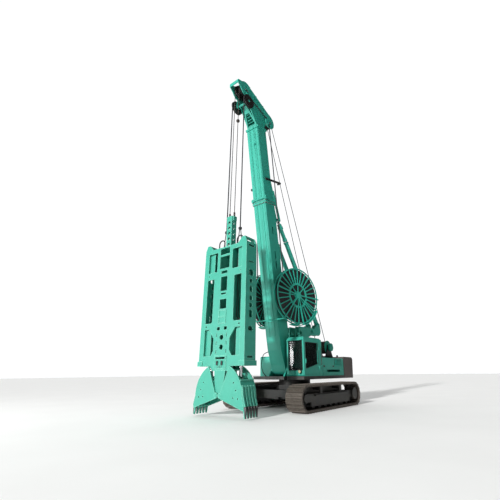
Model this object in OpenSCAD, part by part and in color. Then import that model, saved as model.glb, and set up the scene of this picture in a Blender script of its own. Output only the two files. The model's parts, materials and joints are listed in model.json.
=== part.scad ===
// Diaphragm wall grab on a crawler base machine, standing in its working pose with open jaws.
// Millimetres, X forward to the grab, Y to the cab's side, Z up from the ground.

/* [Tracks] */
// Length of a track over its grousers
track_length = 5700; // [5000:10:6400]
// Height of a track over its grousers
track_height = 1090; // [950:10:1250]
// Width over both tracks
track_span = 4400; // [3900:10:4800]
// Width of a track shoe
shoe_width = 800; // [600:10:900]
// Nominal pitch of the track shoes
shoe_pitch = 215; // [180:1:260]
// Thickness of a shoe plate above the link band
shoe_plate = 18; // [12:1:30]
// Height of a grouser above its shoe plate
grouser_height = 30; // [20:1:45]
// Thickness of the link band
band_thick = 60; // [40:1:90]
// Length of the rollers and wheel hubs between the frame plates
roller_length = 340; // [260:5:420]
// Thickness of a track frame plate
frame_plate = 60; // [40:1:90]
// Gap between a track frame's box and the track's wheels
frame_gap = 25; // [10:1:60]
// Radius of a lower track roller
lower_roller_r = 110; // [80:1:140]
// Radius of an upper track roller
upper_roller_r = 85; // [60:1:110]
// Radius of the drive sprocket over its teeth
sprocket_r = 425; // [340:1:430]
// Radius of the idler wheel
idler_r = 430; // [340:1:432]
// Radius of a wheel hub
wheel_hub_r = 130; // [90:1:180]

/* [Car body] */
// Bottom of the car body above the ground
car_bottom = 430; // [350:10:520]
// Height of the car body's cross beams
beam_height = 370; // [300:10:480]
// Length of a cross beam along the machine
beam_length = 450; // [350:10:600]
// Distance of a cross beam from the slewing axis
beam_reach = 1150; // [900:10:1400]
// Radius of the car body's middle
car_r = 930; // [800:10:1050]
// Radius of the slewing ring
ring_r = 780; // [650:10:900]
// Height of the slewing ring
ring_height = 250; // [180:10:320]
// Radius of a tow hole
tow_hole_r = 45; // [30:1:60]
// Thickness of a tow plate
tow_plate = 70; // [50:1:100]
// Reach of a tow plate before its beam
tow_reach = 190; // [150:5:260]

/* [Turntable] */
// Underside of the turntable above the ground
deck_bottom = 1250; // [1220:10:1400]
// Thickness of the turntable
deck_thick = 140; // [100:5:220]
// Front end of the turntable before the slewing axis
deck_front = 1700; // [1500:10:2000]
// Width of the turntable
deck_width = 2960; // [2600:10:3200]
// Width of the middle frame between the decks
spine_width = 1120; // [1000:10:1300]
// Tail of the machine behind the slewing axis
tail_reach = 3800; // [3400:10:4200]
// Length of the counterweight
weight_length = 1180; // [900:10:1400]
// Height of the counterweight
weight_height = 1080; // [800:10:1300]
// Width of the counterweight
weight_width = 2980; // [2600:10:3200]
// Radius of the hole in a lifting lug
lug_hole_r = 40; // [25:1:55]

/* [Cab] */
// Rear wall of the cab before the slewing axis
cab_rear = -250; // [-400:10:0]
// Length of the cab
cab_length = 1670; // [1400:10:1900]
// Width of the cab
cab_width = 940; // [850:10:1050]
// Height of the cab
cab_height = 1680; // [1550:10:1800]
// Thickness of the cab's walls
cab_wall = 50; // [30:1:70]
// Radius of the cab's roof edges
cab_round = 80; // [60:5:120]
// Thickness of the glass panes
glass_thick = 12; // [6:1:20]
// Gap round the door
door_gap = 6; // [5:0.5:10]

/* [Hoods] */
// Height of the left hood
left_hood_height = 840; // [700:10:1000]
// Height of the right hood
right_hood_height = 930; // [700:10:1200]
// Front end of the right hood before the slewing axis
right_hood_front = 900; // [500:10:1300]
// Thickness of a hood's sheet
hood_sheet = 40; // [20:1:60]

/* [Winch and gantry] */
// Distance of the winch drums behind the slewing axis
winch_reach = 2650; // [2400:10:2900]
// Height of the winch drums' axis
winch_z = 2860; // [2750:10:3000]
// Radius of a winch drum's flange
drum_flange_r = 370; // [320:5:420]
// Radius of the rope wound on a drum
drum_rope_r = 310; // [260:5:350]
// Width of a winch drum
drum_width = 560; // [450:10:650]
// Thickness of the winch stand's plates
stand_plate = 50; // [30:1:70]
// Rear eye of the gantry behind the slewing axis
gantry_reach = 2050; // [1850:10:2250]
// Height of the gantry's rear eye
gantry_eye_z = 4050; // [3800:10:4300]
// Thickness of a gantry plate
gantry_plate = 45; // [30:1:60]

/* [Mast] */
// Foot pin of the mast before the slewing axis
foot_x = 1150; // [1000:10:1300]
// Height of the foot pin
foot_z = 1650; // [1600:10:1800]
// Forward lean of the mast
mast_lean = 9; // [6:0.5:12]
// Width of the mast
mast_width = 800; // [700:10:900]
// Depth of the lower boom
boom_depth = 790; // [700:10:900]
// Length of the lower boom from its foot pin to the flange
boom_length = 8500; // [8000:50:9000]
// Length of the upper mast above the flange
upper_length = 4500; // [4000:50:5000]
// Wall of the mast's boxes
mast_wall = 30; // [20:1:50]
// Radius of the boom's foot
foot_r = 190; // [150:5:230]
// Radius of the foot pin
foot_pin_r = 80; // [60:1:100]
// Distance of the luff cylinders from the middle plane
luff_y = 295; // [260:5:320]
// Forward travel of the mast from its working lean
luff_travel = 8; // [4:0.5:10]
// Radius of a luff cylinder's barrel
luff_barrel_r = 118; // [90:1:140]
// Radius of a luff cylinder's rod
luff_rod_r = 75; // [55:1:90]
// Radius of the luff cylinders' pins
luff_pin_r = 50; // [35:1:65]

/* [Mast head] */
// Front rope sheaves' axle before the mast's top
head_reach = 1270; // [1100:10:1450]
// Front rope sheaves' axle above the mast's top
front_rise = 1830; // [1600:10:2000]
// Rear rope sheaves' axle behind the mast's top
rear_back = 810; // [650:10:950]
// Rear rope sheaves' axle above the mast's top
rear_rise = 1030; // [900:10:1200]
// Pitch radius of the rope sheaves
sheave_pitch_r = 400; // [340:5:460]
// Distance of the ropes from the middle plane
rope_y = 145; // [120:5:180]
// Radius of a hoist rope
rope_r = 18; // [12:1:24]
// Distance of the head's cheeks from the middle plane
cheek_y = 300; // [260:5:360]
// Thickness of a cheek
cheek_plate = 40; // [25:1:60]
// Hose guide wheels' axle above the mast's top
hose_rise = 960; // [850:10:1050]
// Pitch radius of the hose guide wheels
hose_wheel_r = 360; // [320:5:400]
// Distance of the hoses from the middle plane
hose_y = 430; // [400:5:470]
// Radius of a hose
hose_r = 28; // [20:1:36]

/* [Hose reels] */
// Radius of a hose reel
reel_r = 1400; // [1200:10:1500]
// Width of a hose reel between its flanges
reel_width = 200; // [150:5:260]
// Inner radius of the spokes
reel_inner_r = 620; // [500:10:760]
// Toe-in of a reel's axle
reel_toe = 12; // [0:1:16]
// Reel axle behind the mast's middle line
reel_back = 570; // [540:10:650]
// Reel axle above the foot pin along the mast
reel_up = 3440; // [3300:10:3600]
// Reel's middle from the middle plane
reel_y = 1010; // [960:10:1100]
// Number of spokes on a reel's flange
spoke_count = 28; // [20:1:36]
// Width of a spoke
spoke_width = 44; // [24:1:60]

/* [Grab] */
// Width of the grab's frame
grab_width = 2500; // [2300:10:2800]
// Thickness of the grab's frame
grab_thick = 660; // [560:10:780]
// Bottom of the grab's frame above the ground
grab_bottom = 1810; // [1750:10:1900]
// Height of the grab's frame
grab_height = 5240; // [4800:10:5600]
// Thickness of the frame's plates
grab_plate = 60; // [40:1:80]
// Width of an outer post
post_width = 230; // [180:5:270]
// Width of the middle column
column_width = 900; // [800:10:1000]
// Length of the suspension column above the frame
hanger_length = 1560; // [1300:10:1800]
// Width of the suspension column
hanger_width = 300; // [260:10:360]
// Thickness of the suspension column
hanger_thick = 310; // [260:10:360]

/* [Jaws] */
// Distance of a jaw's pin from the middle plane
jaw_pin_y = 110; // [104:2:130]
// Height of the jaw pins
jaw_pin_z = 770; // [760:5:820]
// Radius of a jaw's pin
jaw_pin_r = 50; // [40:1:60]
// Radius of a jaw's back
jaw_r = 1130; // [1000:10:1160]
// Width of a jaw
jaw_width = 800; // [760:10:900]
// Reach of a jaw's lip from its pin
lip_reach = 1270; // [1200:5:1320]
// Opening angle of a jaw
jaw_open = 73; // [64:1:76]
// Thickness of a jaw's plates
jaw_plate = 50; // [35:1:65]
// Number of teeth on a jaw
tooth_count = 5; // [4:1:5]
// Width of a tooth
tooth_width = 64; // [50:1:70]
// Distance of a jaw cylinder's upper pin from the middle plane
jaw_ram_y = 860; // [840:5:880]
// Radius of a jaw cylinder's barrel
jaw_ram_r = 105; // [85:1:110]
// Radius of a jaw cylinder's rod
jaw_rod_r = 60; // [45:1:70]

/* [Hidden] */
$fn = 64;

// Clearances: a running seat, a pin in its bore, free air beside moving plates, an overrun for cuts, ends of ropes
seat_gap = 0.3;
pin_gap = 0.05;
side_gap = 12;
overrun = 20;
joint_gap = 2;
arc_start = 2;

// Tracks
track_y = (track_span - shoe_width)/2;
track_r = track_height/2;
track_straight = track_length - track_height;
frame_length = track_straight - 2*max(idler_r, sprocket_r) - 2*frame_gap;
shoe_rise = shoe_plate + grouser_height;
band_r = track_r - shoe_rise;
loop_length = 2*track_straight + 2*PI*band_r;
shoe_count = round(loop_length/shoe_pitch);
shoe_step = loop_length/shoe_count;
shoe_sink = band_thick/4;
shoe_cover_share = 0.93;
grouser_base_share = 0.30;
grouser_tip_share = 0.16;
inner_r = band_r - band_thick;
frame_y = roller_length/2 + frame_plate/2;
frame_outer = roller_length/2 + frame_plate;
frame_low = track_r - inner_r + lower_roller_r;
frame_high = track_r + wheel_hub_r;
fork_half = wheel_hub_r*1.2;
fork_end = track_straight/2 + wheel_hub_r;
lower_roller_count = 7;
upper_roller_count = 2;
wheel_disc = 110;
tooth_depth = 55;
sprocket_teeth = 17;
drive_cap = 110;
drive_cap_r = 270;
idler_cap = 60;
idler_cap_r = 170;
ledge = 130;
ledge_thick = 45;
ledge_share = 0.86;

// Car body
car_top = deck_bottom - ring_height;
car_octagon = 8;
beam_half = track_y - frame_outer;
tow_width = 4*tow_hole_r + tow_plate;

// Turntable
deck_top = deck_bottom + deck_thick;
weight_front = -(tail_reach - weight_length);
weight_top = deck_bottom + weight_height;
deck_rear = weight_front;
foot_bracket_plate = 70;
foot_bracket_y = mast_width/2 + side_gap + foot_bracket_plate/2;
foot_bracket_half = foot_r*2.2;
lug_thick = 40;
lug_r = lug_hole_r*2.2;
lug_y = weight_width/4;

// Cab
cab_y0 = deck_width/2 + seat_gap + side_gap - cab_width;
cab_y1 = cab_y0 + cab_width;
cab_front = cab_rear + cab_length;
cab_floor = deck_top;
cab_roof = cab_floor + cab_height;
window_inset = cab_wall*1.8;
sill_share = 0.15;
window_top_share = 0.92;
rear_sill_share = 0.36;
door_low_share = 0.045;
door_rear_share = 0.185;
door_rear = cab_rear + cab_length*door_rear_share;
door_front = cab_front - cab_wall*1.6;
door_low = cab_floor + cab_height*door_low_share;
door_top = cab_floor + cab_height*window_top_share;
door_frame = 60;
door_sill_front_share = 0.19;
door_sill_rear_share = 0.33;
hinge_r = 20;
hinge_x = door_rear - hinge_r*0.75;
hinge_y = cab_y1 + hinge_r;
knuckle = 80;
hinge_share = [0.2, 0.8];
glass_lap = 20;
seat_width = 480;
seat_base = 420;
seat_back = 560;
seat_cushion = 110;
console_width = 130;
front_rib_count = 6;
front_rib = 22;
roof_cap = 45;
visor_reach = 110;
visor_thick = 24;
handle_length = 190;
handle_thick = 26;

// Hoods and engine
hood_gap = 30;
left_hood_front = cab_rear - hood_gap;
hood_rear = deck_rear + hood_gap;
hood_y0 = spine_width/2 + hood_gap;
hood_y1 = deck_width/2;
hood_round = 70;
hood_relief = 14;
vent_shares = [0.14, 0.44, 0.50, 0.86];
vent_count = 6;
slot_shares = [0.19, 0.81, 0.20, 0.33];
sill_shares = [0.02, 0.98, 0.03, 0.14];
engine_front_share = 0.5;
engine_height = 850;
engine_front = hood_rear + (left_hood_front - hood_rear)*engine_front_share;
engine_half = spine_width/2 - hood_gap;
stack_r = 65;
stack_height = 900;

// Winch
stand_base = 60;
stand_half_x = 430;
drum_gap = 4;
drum_y = stand_plate/2 + drum_gap + drum_width/2;
stand_outer_y = stand_plate + 2*drum_gap + drum_width;
winch_motor_r = 165;
winch_motor = 190;
drum_flange = 30;
drum_shaft_r = 60;
winch_x = -winch_reach;

// Gantry
gantry_x = -gantry_reach;
gantry_gap = 3;
luff_eye_lap = 5;
luff_eye_width = 2*(luff_rod_r + luff_eye_lap);
gantry_y = luff_eye_width/2 + gantry_gap + gantry_plate/2;
eye_r = luff_pin_r*2.1;
gantry_base_front = 250;
gantry_base_rear = -700;
gantry_low = 3450;
gantry_high = 3800;
gantry_bend_r = 300;
gantry_taper = 200;
gantry_holes = [[-80, 3480], [-1250, 3625]];
gantry_hole_r = 95;
horn_half = 150;
gantry_tube_r = 95;

// Mast frame: u runs forward and w runs up the mast from the foot pin
boom_front = boom_depth/2;
boom_rear = -boom_depth/2;
upper_rear_low = -560;
waist_rear = -300;
waist_rise = 1400;
upper_rear_high = -330;
foot_w_share = 0.19;
luff_eye_u = -690;
luff_eye_drop = 850;
luff_eye_w = boom_length - luff_eye_drop;
lug_rise = 800;
lug_top_w = boom_length + lug_rise;
lug_top_u = (upper_rear_low + waist_rear)/2 - eye_r/2;
flange_plate = 60;
flange_lip = 45;
collar_plate = 120;
mast_top_w = boom_length + upper_length;
mast_rib = 26;
mast_rib_share = 0.21;
mast_slot_shares = [0.60, 0.66, 0.815];
mast_slot = 330;
mast_slot_r = 48;
cross_pin_r = 50;
cross_block = 70;
cross_rise = 210;
doubler = 18;
doubler_share = 0.86;
doubler_top_share = 0.46;

// Head, placed from the middle of the mast's top
mast_top = mast_point([(boom_front + upper_rear_high)/2, mast_top_w + collar_plate - mast_wall + seat_gap]);
front_axle_x = mast_top[0] + head_reach;
front_axle_z = mast_top[1] + front_rise;
rear_axle_x = mast_top[0] - rear_back;
rear_axle_z = mast_top[1] + rear_rise;
grab_x = front_axle_x + sheave_pitch_r;
sheave_groove_r = sheave_pitch_r - rope_r - seat_gap;
sheave_rim_r = sheave_pitch_r + 1.5*rope_r;
sheave_width = 4*rope_r;
sheave_hub_r = 110;
axle_r = 60;
cheek_r = sheave_rim_r + 2.5*overrun;
hose_back = 120;
hose_axle_x = grab_x - hose_back - hose_wheel_r;
hose_axle_z = mast_top[1] + hose_rise;
hose_groove_r = hose_wheel_r - hose_r - seat_gap;
hose_rim_r = hose_wheel_r + hose_r;
hose_wheel_width = 4*hose_r;
hose_arm_plate = 36;
neck_foot_share = 0.92;
neck = (boom_front - upper_rear_high)/2*neck_foot_share;
nose_reach = 680;
nose_share = 0.45;
keeper_r = 22;
keeper_shares = [0.08, 0.36, 0.66, 0.94];
keeper_rise = sheave_rim_r + keeper_r + keeper_r/4;
pocket_shares = [[0.24, 0.40, -0.10, 0.12], [0.46, 0.70, -0.09, 0.12], [0.76, 0.90, 0.02, 0.13]];
frame_base = [mast_top[0] + neck, mast_top[1] + seat_slope(neck)];
frame_apex = [front_axle_x - cheek_r/2, front_axle_z - 1.8*cheek_r];
frame_run = norm(frame_apex - frame_base);
frame_tilt = atan2(frame_apex[0] - frame_base[0], frame_apex[1] - frame_base[1]);
frame_half = 365;
frame_top_half = 110;
frame_leg = 75;
frame_window_shares = [0.10, 0.66];
rung_count = 7;
rung_r = 20;
saddle_r = 170;
saddle_x = rear_axle_x + 0.75*cheek_r;
saddle_z = rear_axle_z - 0.70*cheek_r;
guide_w_share = 0.30;
guide_reach = 900;
guide_r = 60;

// The slewing axis lies behind the middle of the whole machine
slew_x = -(grab_x + jaw_width/2 - tail_reach)/2;

// Reels
reel_hub_r = 170;
reel_axle_r = 75;
reel_rim = 36;
reel_face = reel_width/2;
carrier_size = 300;
carrier_half = 560;
guard_gap = 45;
guard_plate = 25;
guard_width = 380;
guard_arc = 80;
guard_turn = -115;
guard_arm = 56;
guard_arms = [12, -102, -146, -178];
tie_turn = -50;
tie_reach = 1600;
tie_r = 28;
coil_r = reel_r - 2*reel_rim;
inner_ring = 95;
inner_spokes = 8;
entry_turn = 50;

// Rope lines: tangents from the rear sheaves to the winch drums, on the same side
drum_line_r = drum_rope_r + rope_r + seat_gap;
back_dx = winch_x - rear_axle_x;
back_dz = winch_z - rear_axle_z;
back_run = norm([back_dx, back_dz]);
back_tilt = atan2(back_dx, -back_dz);
back_skew = asin((sheave_pitch_r - drum_line_r)/back_run);
back_turn = back_tilt + back_skew;
back_normal = [-cos(back_turn), -sin(back_turn)];
rope_top = [rear_axle_x + sheave_pitch_r*back_normal[0], rear_axle_z + sheave_pitch_r*back_normal[1]];
rope_low = [winch_x + drum_line_r*back_normal[0], winch_z + drum_line_r*back_normal[1]];

// Luff cylinder
luff_top = mast_point([luff_eye_u, luff_eye_w]);
luff_low = [gantry_x, gantry_eye_z];
luff_run = norm(luff_top - luff_low);
luff_turn = atan2(luff_top[0] - luff_low[0], luff_top[1] - luff_low[1]);
luff_barrel_share = 0.80;
luff_barrel_length = luff_run*luff_barrel_share;
luff_rod_in = 1900;
luff_gland = 90;
luff_gland_r = luff_barrel_r*1.18;
luff_neck = 300;
luff_collar_shares = [0.30, 0.62];

// Grab
grab_top = grab_bottom + grab_height;
post_inner = grab_width/2 - post_width;
rail_outer = column_width/2;
grab_face = grab_thick/2 - grab_plate/2;
bay_lip = 20;
bay_table_shares = [[0.0725, 0.275, 1.0, 0.29, 0.62], [0.3225, 0.685, 1.32, 0.10, 0.045], [0.744, 0.915,
    1.0, 0.045, 0.045]];
panel_share = 0.52;
panel_depth = 90;
column_shares = [[0.4275, 0.504, 0.42], [0.542, 0.556, 0.34], [0.571, 0.691, 0.42], [0.7176, 0.742, 0.40],
    [0.761, 0.868, 0.64], [0.885, 0.94, 0.64]];
square_hole = 130;
square_holes_shares = [[0.44, 0.275]];
round_hole_r = 105;
round_holes_shares = [0.208, 0.136];
edge_slot_shares = [0.105, 0.165, 0.225];
edge_slot = 130;
edge_slot_r = 17;
edge_slot_y_share = 0.62;
rail_hole_r = 42;
rail_hole_shares = [0.297, 0.714];
rib_shares = [0.30, 0.715];
side_slot_shares = [[0.06, 0.012, 0.5], [0.262, 0.034, 0.42], [0.372, 0.062, 0.26], [0.436, 0.036, 0.26],
    [0.494, 0.042, 0.26], [0.562, 0.052, 0.26], [0.628, 0.030, 0.26], [0.695, 0.052, 0.45], [0.786, 0.012,
        0.5],
    [0.925, 0.018, 0.55]];
corner_cut = 110;
ear_drop = 250;
ear_shares = [0.92, 0.80, 0.60];
hang_base = grab_top - ear_drop;
hanger_holes = 5;
ball_r = 95;
ball_share = 0.70;
loop_r = 170;
loop_share = 0.62;
foot_block_low = 1640;
foot_block_height = 670;
foot_shares = [[0.93, 0], [1.33, 0.26], [1.33, 0.58], [1.0, 1.0]];
shield_plate = 24;
shield_half_share = 0.72;
shield_shares = [0.10, 0.84];
shield_slot_shares = [0.64, 0.76];
tine = 34;
tine_shares = [0.14, 0.30];
relief_shares = [0.312, 0.415];
relief_half_share = 0.48;
skirt = 34;
skirt_height = 190;

// Jaws, drawn closed about the pin and swung open
mouth_gap = 6;
mouth = jaw_pin_y - mouth_gap;
jaw_hub_r = jaw_pin_y - 2*mouth_gap;
jaw_top_turn = 6;
jaw_back_turn = 44;
lip_width = 130;
tooth_base = 110;
tooth_shares = [[0.09, 0.02], [1.0, 0.02], [1.0, -0.30], [-1.75, -1.42], [-1.95, -1.12], [0.09, -0.05]];
shank_shares = [[0.02, -1.12], [0.28, -0.945], [0.56, -0.81], [0.605, -0.86], [0.31, -1.0], [0.06, -1.165]];
jaw_facets = 180;
jaw_hole_r = 30;
jaw_holes = [[0.74, -40], [0.75, -60], [0.83, -78], [0.62, -78]];
back_rib = 40;
tooth_pitch = (jaw_width - jaw_plate)/tooth_count + mouth_gap;
jaw_side_x = jaw_width/2 - jaw_plate/2;
bracket_plate = 60;
bracket_x = jaw_width/2 - jaw_plate - side_gap - bracket_plate/2;
bracket_top_half = 300;
ram_pin_r = 45;
ram_pin_z = grab_bottom + grab_height*rib_shares[0];
ram_eye_reach = 900;
ram_eye_turn = jaw_open - 32;
ram_eye = [jaw_pin_y + ram_eye_reach*cos(ram_eye_turn), jaw_pin_z + ram_eye_reach*sin(ram_eye_turn)];
ram_eye_width = 120;
ram_eye_r = 85;
ram_spacer = jaw_width/2 - jaw_plate/2 - ram_eye_width/2 - seat_gap;
ram_run = norm([ram_eye[0] - jaw_ram_y, ram_eye[1] - ram_pin_z]);
ram_turn = atan2(ram_eye[0] - jaw_ram_y, ram_pin_z - ram_eye[1]);
ram_barrel_share = 0.74;
ram_barrel_length = ram_run*ram_barrel_share;
ram_rod_in_share = 0.80;
ram_neck = 130;

function mast_point(p) = [foot_x + p[0]*cos(mast_lean) + p[1]*sin(mast_lean),
    foot_z - p[0]*sin(mast_lean) + p[1]*cos(mast_lean)];

// Place on the track's loop: position and outward turn for a run s along the band
function loop_place(s) =
    s < track_straight ? [s - track_straight/2, -band_r, -90] :
    s < track_straight + PI*band_r ?
        loop_end(track_straight/2, -90 + (s - track_straight)/band_r*180/PI) :
    s < 2*track_straight + PI*band_r ? [track_straight*1.5 + PI*band_r - s, band_r, 90] :
    loop_end(-track_straight/2, 90 + (s - 2*track_straight - PI*band_r)/band_r*180/PI);
function loop_end(x, turn) = [x + band_r*cos(turn), band_r*sin(turn), turn];

module at_slew() {
    translate([slew_x, 0, 0]) children();
}

module on_mast() {
    at_slew() translate([foot_x, 0, foot_z]) rotate([0, mast_lean, 0]) children();
}

// A flat outline drawn in X and Z, made into a plate across Y
module plate_xz(thick, y = 0) {
    translate([0, y, 0]) rotate([90, 0, 0]) linear_extrude(height = thick, center = true) children();
}

// A flat outline drawn in Y and Z, made into a plate along X
module plate_yz(thick, x = 0) {
    translate([x, 0, 0]) rotate([90, 0, 90]) linear_extrude(height = thick, center = true) children();
}

module pin_y(r, length, x = 0, y = 0, z = 0) {
    translate([x, y, z]) rotate([90, 0, 0]) cylinder(r = r, h = length, center = true);
}

module pin_x(r, length, x = 0, y = 0, z = 0) {
    translate([x, y, z]) rotate([0, 90, 0]) cylinder(r = r, h = length, center = true);
}

module box(x0, x1, y0, y1, z0, z1) {
    translate([x0, y0, z0]) cube([x1 - x0, y1 - y0, z1 - z0]);
}

module slot_shape(length, r) {
    square([length, 2*r], center = true);
    for (side = [-1, 1]) translate([side*length/2, 0]) circle(r = r);
}

module round_rect(x0, x1, z0, z1, r) {
    translate([x0 + r, z0]) square([x1 - x0 - 2*r, z1 - z0]);
    translate([x0, z0 + r]) square([x1 - x0, z1 - z0 - 2*r]);
    for (x = [x0 + r, x1 - r], z = [z0 + r, z1 - r]) translate([x, z]) circle(r = r);
}

module tube_between(p, q, r, trim = 0) {
    d = q - p;
    run = norm(d);
    translate(p) rotate([0, acos(d[2]/run), atan2(d[1], d[0])]) translate([0, 0, trim]) cylinder(r = r,
        h = run - 2*trim);
}

// Undercarriage

module shoe_profile() {
    plate_half = shoe_step*shoe_cover_share/2;
    base = shoe_step*grouser_base_share/2;
    tip = shoe_step*grouser_tip_share/2;
    polygon([[-plate_half, -shoe_sink], [plate_half, -shoe_sink], [plate_half, shoe_plate], [base,
        shoe_plate],
        [tip, shoe_rise], [-tip, shoe_rise], [-base, shoe_plate], [-plate_half, shoe_plate]]);
}

module track_outline() {
    difference() {
        slot_shape(track_straight, band_r);
        slot_shape(track_straight, inner_r);
    }
    for (i = [0 : shoe_count - 1]) {
        place = loop_place((i + 0.5)*shoe_step);
        translate([place[0], place[1]]) rotate(place[2] - 90) shoe_profile();
    }
}

module track(side) {
    color("dimgray") at_slew() translate([0, 0, track_r]) plate_xz(shoe_width, side*track_y) track_outline();
}

module frame_outline() {
    translate([-frame_length/2, frame_low]) square([frame_length, frame_high - frame_low]);
    translate([-fork_end, track_r - fork_half]) square([2*fork_end, 2*fork_half]);
    for (side = [-1, 1]) translate([side*frame_length/4, frame_high]) {
        translate([-upper_roller_r, -overrun]) square([2*upper_roller_r, upper_stand + overrun]);
    }
}
upper_roller_z = track_r + inner_r - seat_gap - upper_roller_r;
upper_stand = upper_roller_z + upper_roller_r/2 - frame_high;
wall_gap = 12;

module track_frame(side) {
    color("darkslategray") at_slew() translate([0, side*track_y, 0]) {
        for (face = [-1, 1]) plate_xz(frame_plate, face*frame_y) frame_outline();
        box(-frame_length/2, frame_length/2, -frame_y, frame_y, frame_low + lower_roller_r + overrun,
            frame_high);
        translate([0, -side*frame_y, (frame_high + upper_roller_z + upper_roller_r)/2 - wall_gap]) {
            cube([frame_length, frame_plate, upper_roller_z + upper_roller_r - frame_high], center = true);
        }
        pin_y(drive_cap_r, drive_cap + frame_plate/2, -track_straight/2,
            side*(frame_outer + drive_cap/2 - frame_plate/4), track_r);
        pin_y(idler_cap_r, idler_cap + frame_plate/2, track_straight/2,
            side*(frame_outer + idler_cap/2 - frame_plate/4), track_r);
        translate([0, side*(frame_y + ledge/2), frame_high - ledge_thick]) {
            cube([frame_length*ledge_share, ledge, ledge_thick], center = true);
        }
    }
}

module sprocket_outline() {
    difference() {
        circle(r = sprocket_r);
        for (i = [0 : sprocket_teeth - 1]) rotate(i*360/sprocket_teeth) translate([sprocket_r, 0]) {
            circle(r = tooth_depth);
        }
    }
}

module drive_sprockets() {
    color("dimgray") at_slew() for (side = [-1, 1]) {
        translate([-track_straight/2, side*track_y, track_r]) {
            plate_xz(wheel_disc) sprocket_outline();
            pin_y(wheel_hub_r, roller_length);
        }
    }
}

module idlers() {
    color("dimgray") at_slew() for (side = [-1, 1]) {
        translate([track_straight/2, side*track_y, track_r]) {
            pin_y(idler_r, wheel_disc);
            pin_y(wheel_hub_r, roller_length);
        }
    }
}

module track_rollers() {
    lower_step = frame_length/lower_roller_count;
    upper_step = frame_length/upper_roller_count;
    color("dimgray") at_slew() for (side = [-1, 1]) {
        for (i = [0 : lower_roller_count - 1]) {
            pin_y(lower_roller_r, roller_length, (i + 0.5)*lower_step - frame_length/2, side*track_y,
                track_r - inner_r + lower_roller_r + seat_gap);
        }
        for (i = [0 : upper_roller_count - 1]) {
            pin_y(upper_roller_r, roller_length, (i + 0.5)*upper_step - frame_length/2, side*track_y,
                upper_roller_z);
        }
    }
}

module tow_plate_shape() {
    difference() {
        translate([-overrun, -tow_width/2]) square([tow_reach + overrun, tow_width]);
        translate([tow_reach - 2*tow_hole_r, 0]) circle(r = tow_hole_r);
    }
}

module car_body() {
    color("darkslategray") at_slew() {
        translate([0, 0, car_bottom]) rotate(180/car_octagon) {
            cylinder(r = car_r, h = car_top - car_bottom, $fn = car_octagon);
        }
        for (side = [-1, 1]) {
            box(side*beam_reach - beam_length/2, side*beam_reach + beam_length/2, -beam_half, beam_half,
                car_bottom, car_bottom + beam_height);
        }
        box(-beam_reach, beam_reach, -car_r/2, car_r/2, car_bottom, car_bottom + beam_height);
        for (turn = [0, 180]) rotate(turn) {
            translate([beam_reach + beam_length/2, 0, car_bottom]) {
                linear_extrude(height = tow_plate) tow_plate_shape();
            }
        }
    }
}

module slewing_ring() {
    color("dimgray") at_slew() translate([0, 0, car_top + seat_gap]) cylinder(r = ring_r,
        h = ring_height - 2*seat_gap);
}

// Upper carriage

module foot_bracket_outline() {
    polygon([[foot_x - foot_bracket_half, deck_top], [foot_x + foot_bracket_half, deck_top],
        [foot_x + foot_r, foot_z], [foot_x - foot_r, foot_z]]);
    translate([foot_x, foot_z]) circle(r = foot_r);
}

module turntable() {
    color("darkslategray") at_slew() {
        box(deck_rear, deck_front, -spine_width/2, spine_width/2, deck_bottom, deck_top);
        box(deck_rear, cab_front + hood_gap, -deck_width/2, deck_width/2, deck_bottom, deck_top);
    }
}

// Two lugs on the turntable's spine, with the mast's foot pin
module foot_brackets() {
    color("teal") at_slew() {
        for (side = [-1, 1]) plate_xz(foot_bracket_plate, side*foot_bracket_y) foot_bracket_outline();
        pin_y(foot_pin_r, 2*foot_bracket_y + foot_bracket_plate + overrun, foot_x, 0, foot_z);
    }
}

module counterweight() {
    color("dimgray") at_slew() {
        rotate([90, 0, 0]) linear_extrude(height = weight_width, center = true) {
            polygon([[weight_front, deck_bottom], [weight_front, weight_top],
                [-tail_reach + corner_cut, weight_top], [-tail_reach, weight_top - corner_cut],
                [-tail_reach + corner_cut, deck_bottom]]);
        }
        for (side = [-1, 1]) plate_xz(lug_thick, side*lug_y) {
            translate([-tail_reach + weight_length/3, weight_top]) difference() {
                union() {
                    translate([0, lug_r/2]) circle(r = lug_r);
                    translate([-lug_r, -overrun]) square([2*lug_r, lug_r/2 + overrun]);
                }
                translate([0, lug_r/2]) circle(r = lug_hole_r);
            }
        }
    }
}

module cab_outline(inset) {
    round_rect(cab_rear + inset, cab_front - inset, cab_floor + inset, cab_roof - inset, cab_round - inset/2);
}

module front_window(lap = 0) {
    translate([cab_y0 + window_inset - lap, cab_floor + cab_height*sill_share - lap]) {
        square([cab_width - 2*window_inset + 2*lap,
            cab_height*(window_top_share - sill_share) + 2*lap]);
    }
}

module rear_window(lap = 0) {
    translate([cab_y0 + window_inset - lap, cab_floor + cab_height*rear_sill_share - lap]) {
        square([cab_width - 2*window_inset + 2*lap,
            cab_height*(window_top_share - rear_sill_share) + 2*lap]);
    }
}

module side_window(lap = 0) {
    translate([cab_rear + window_inset - lap, cab_floor + cab_height*rear_sill_share - lap]) {
        square([cab_length - 2*window_inset + 2*lap,
            cab_height*(window_top_share - rear_sill_share) + 2*lap]);
    }
}

module door_outline(gap) {
    round_rect(door_rear + gap, door_front - gap, door_low + gap, door_top - gap, cab_round/2);
}

module door_window(lap = 0) {
    polygon([[door_rear + door_frame - lap, cab_floor + cab_height*door_sill_rear_share - lap],
        [door_front - door_frame + lap, cab_floor + cab_height*door_sill_front_share - lap],
        [door_front - door_frame + lap, door_top - door_frame + lap],
        [door_rear + door_frame - lap, door_top - door_frame + lap]]);
}

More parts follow.
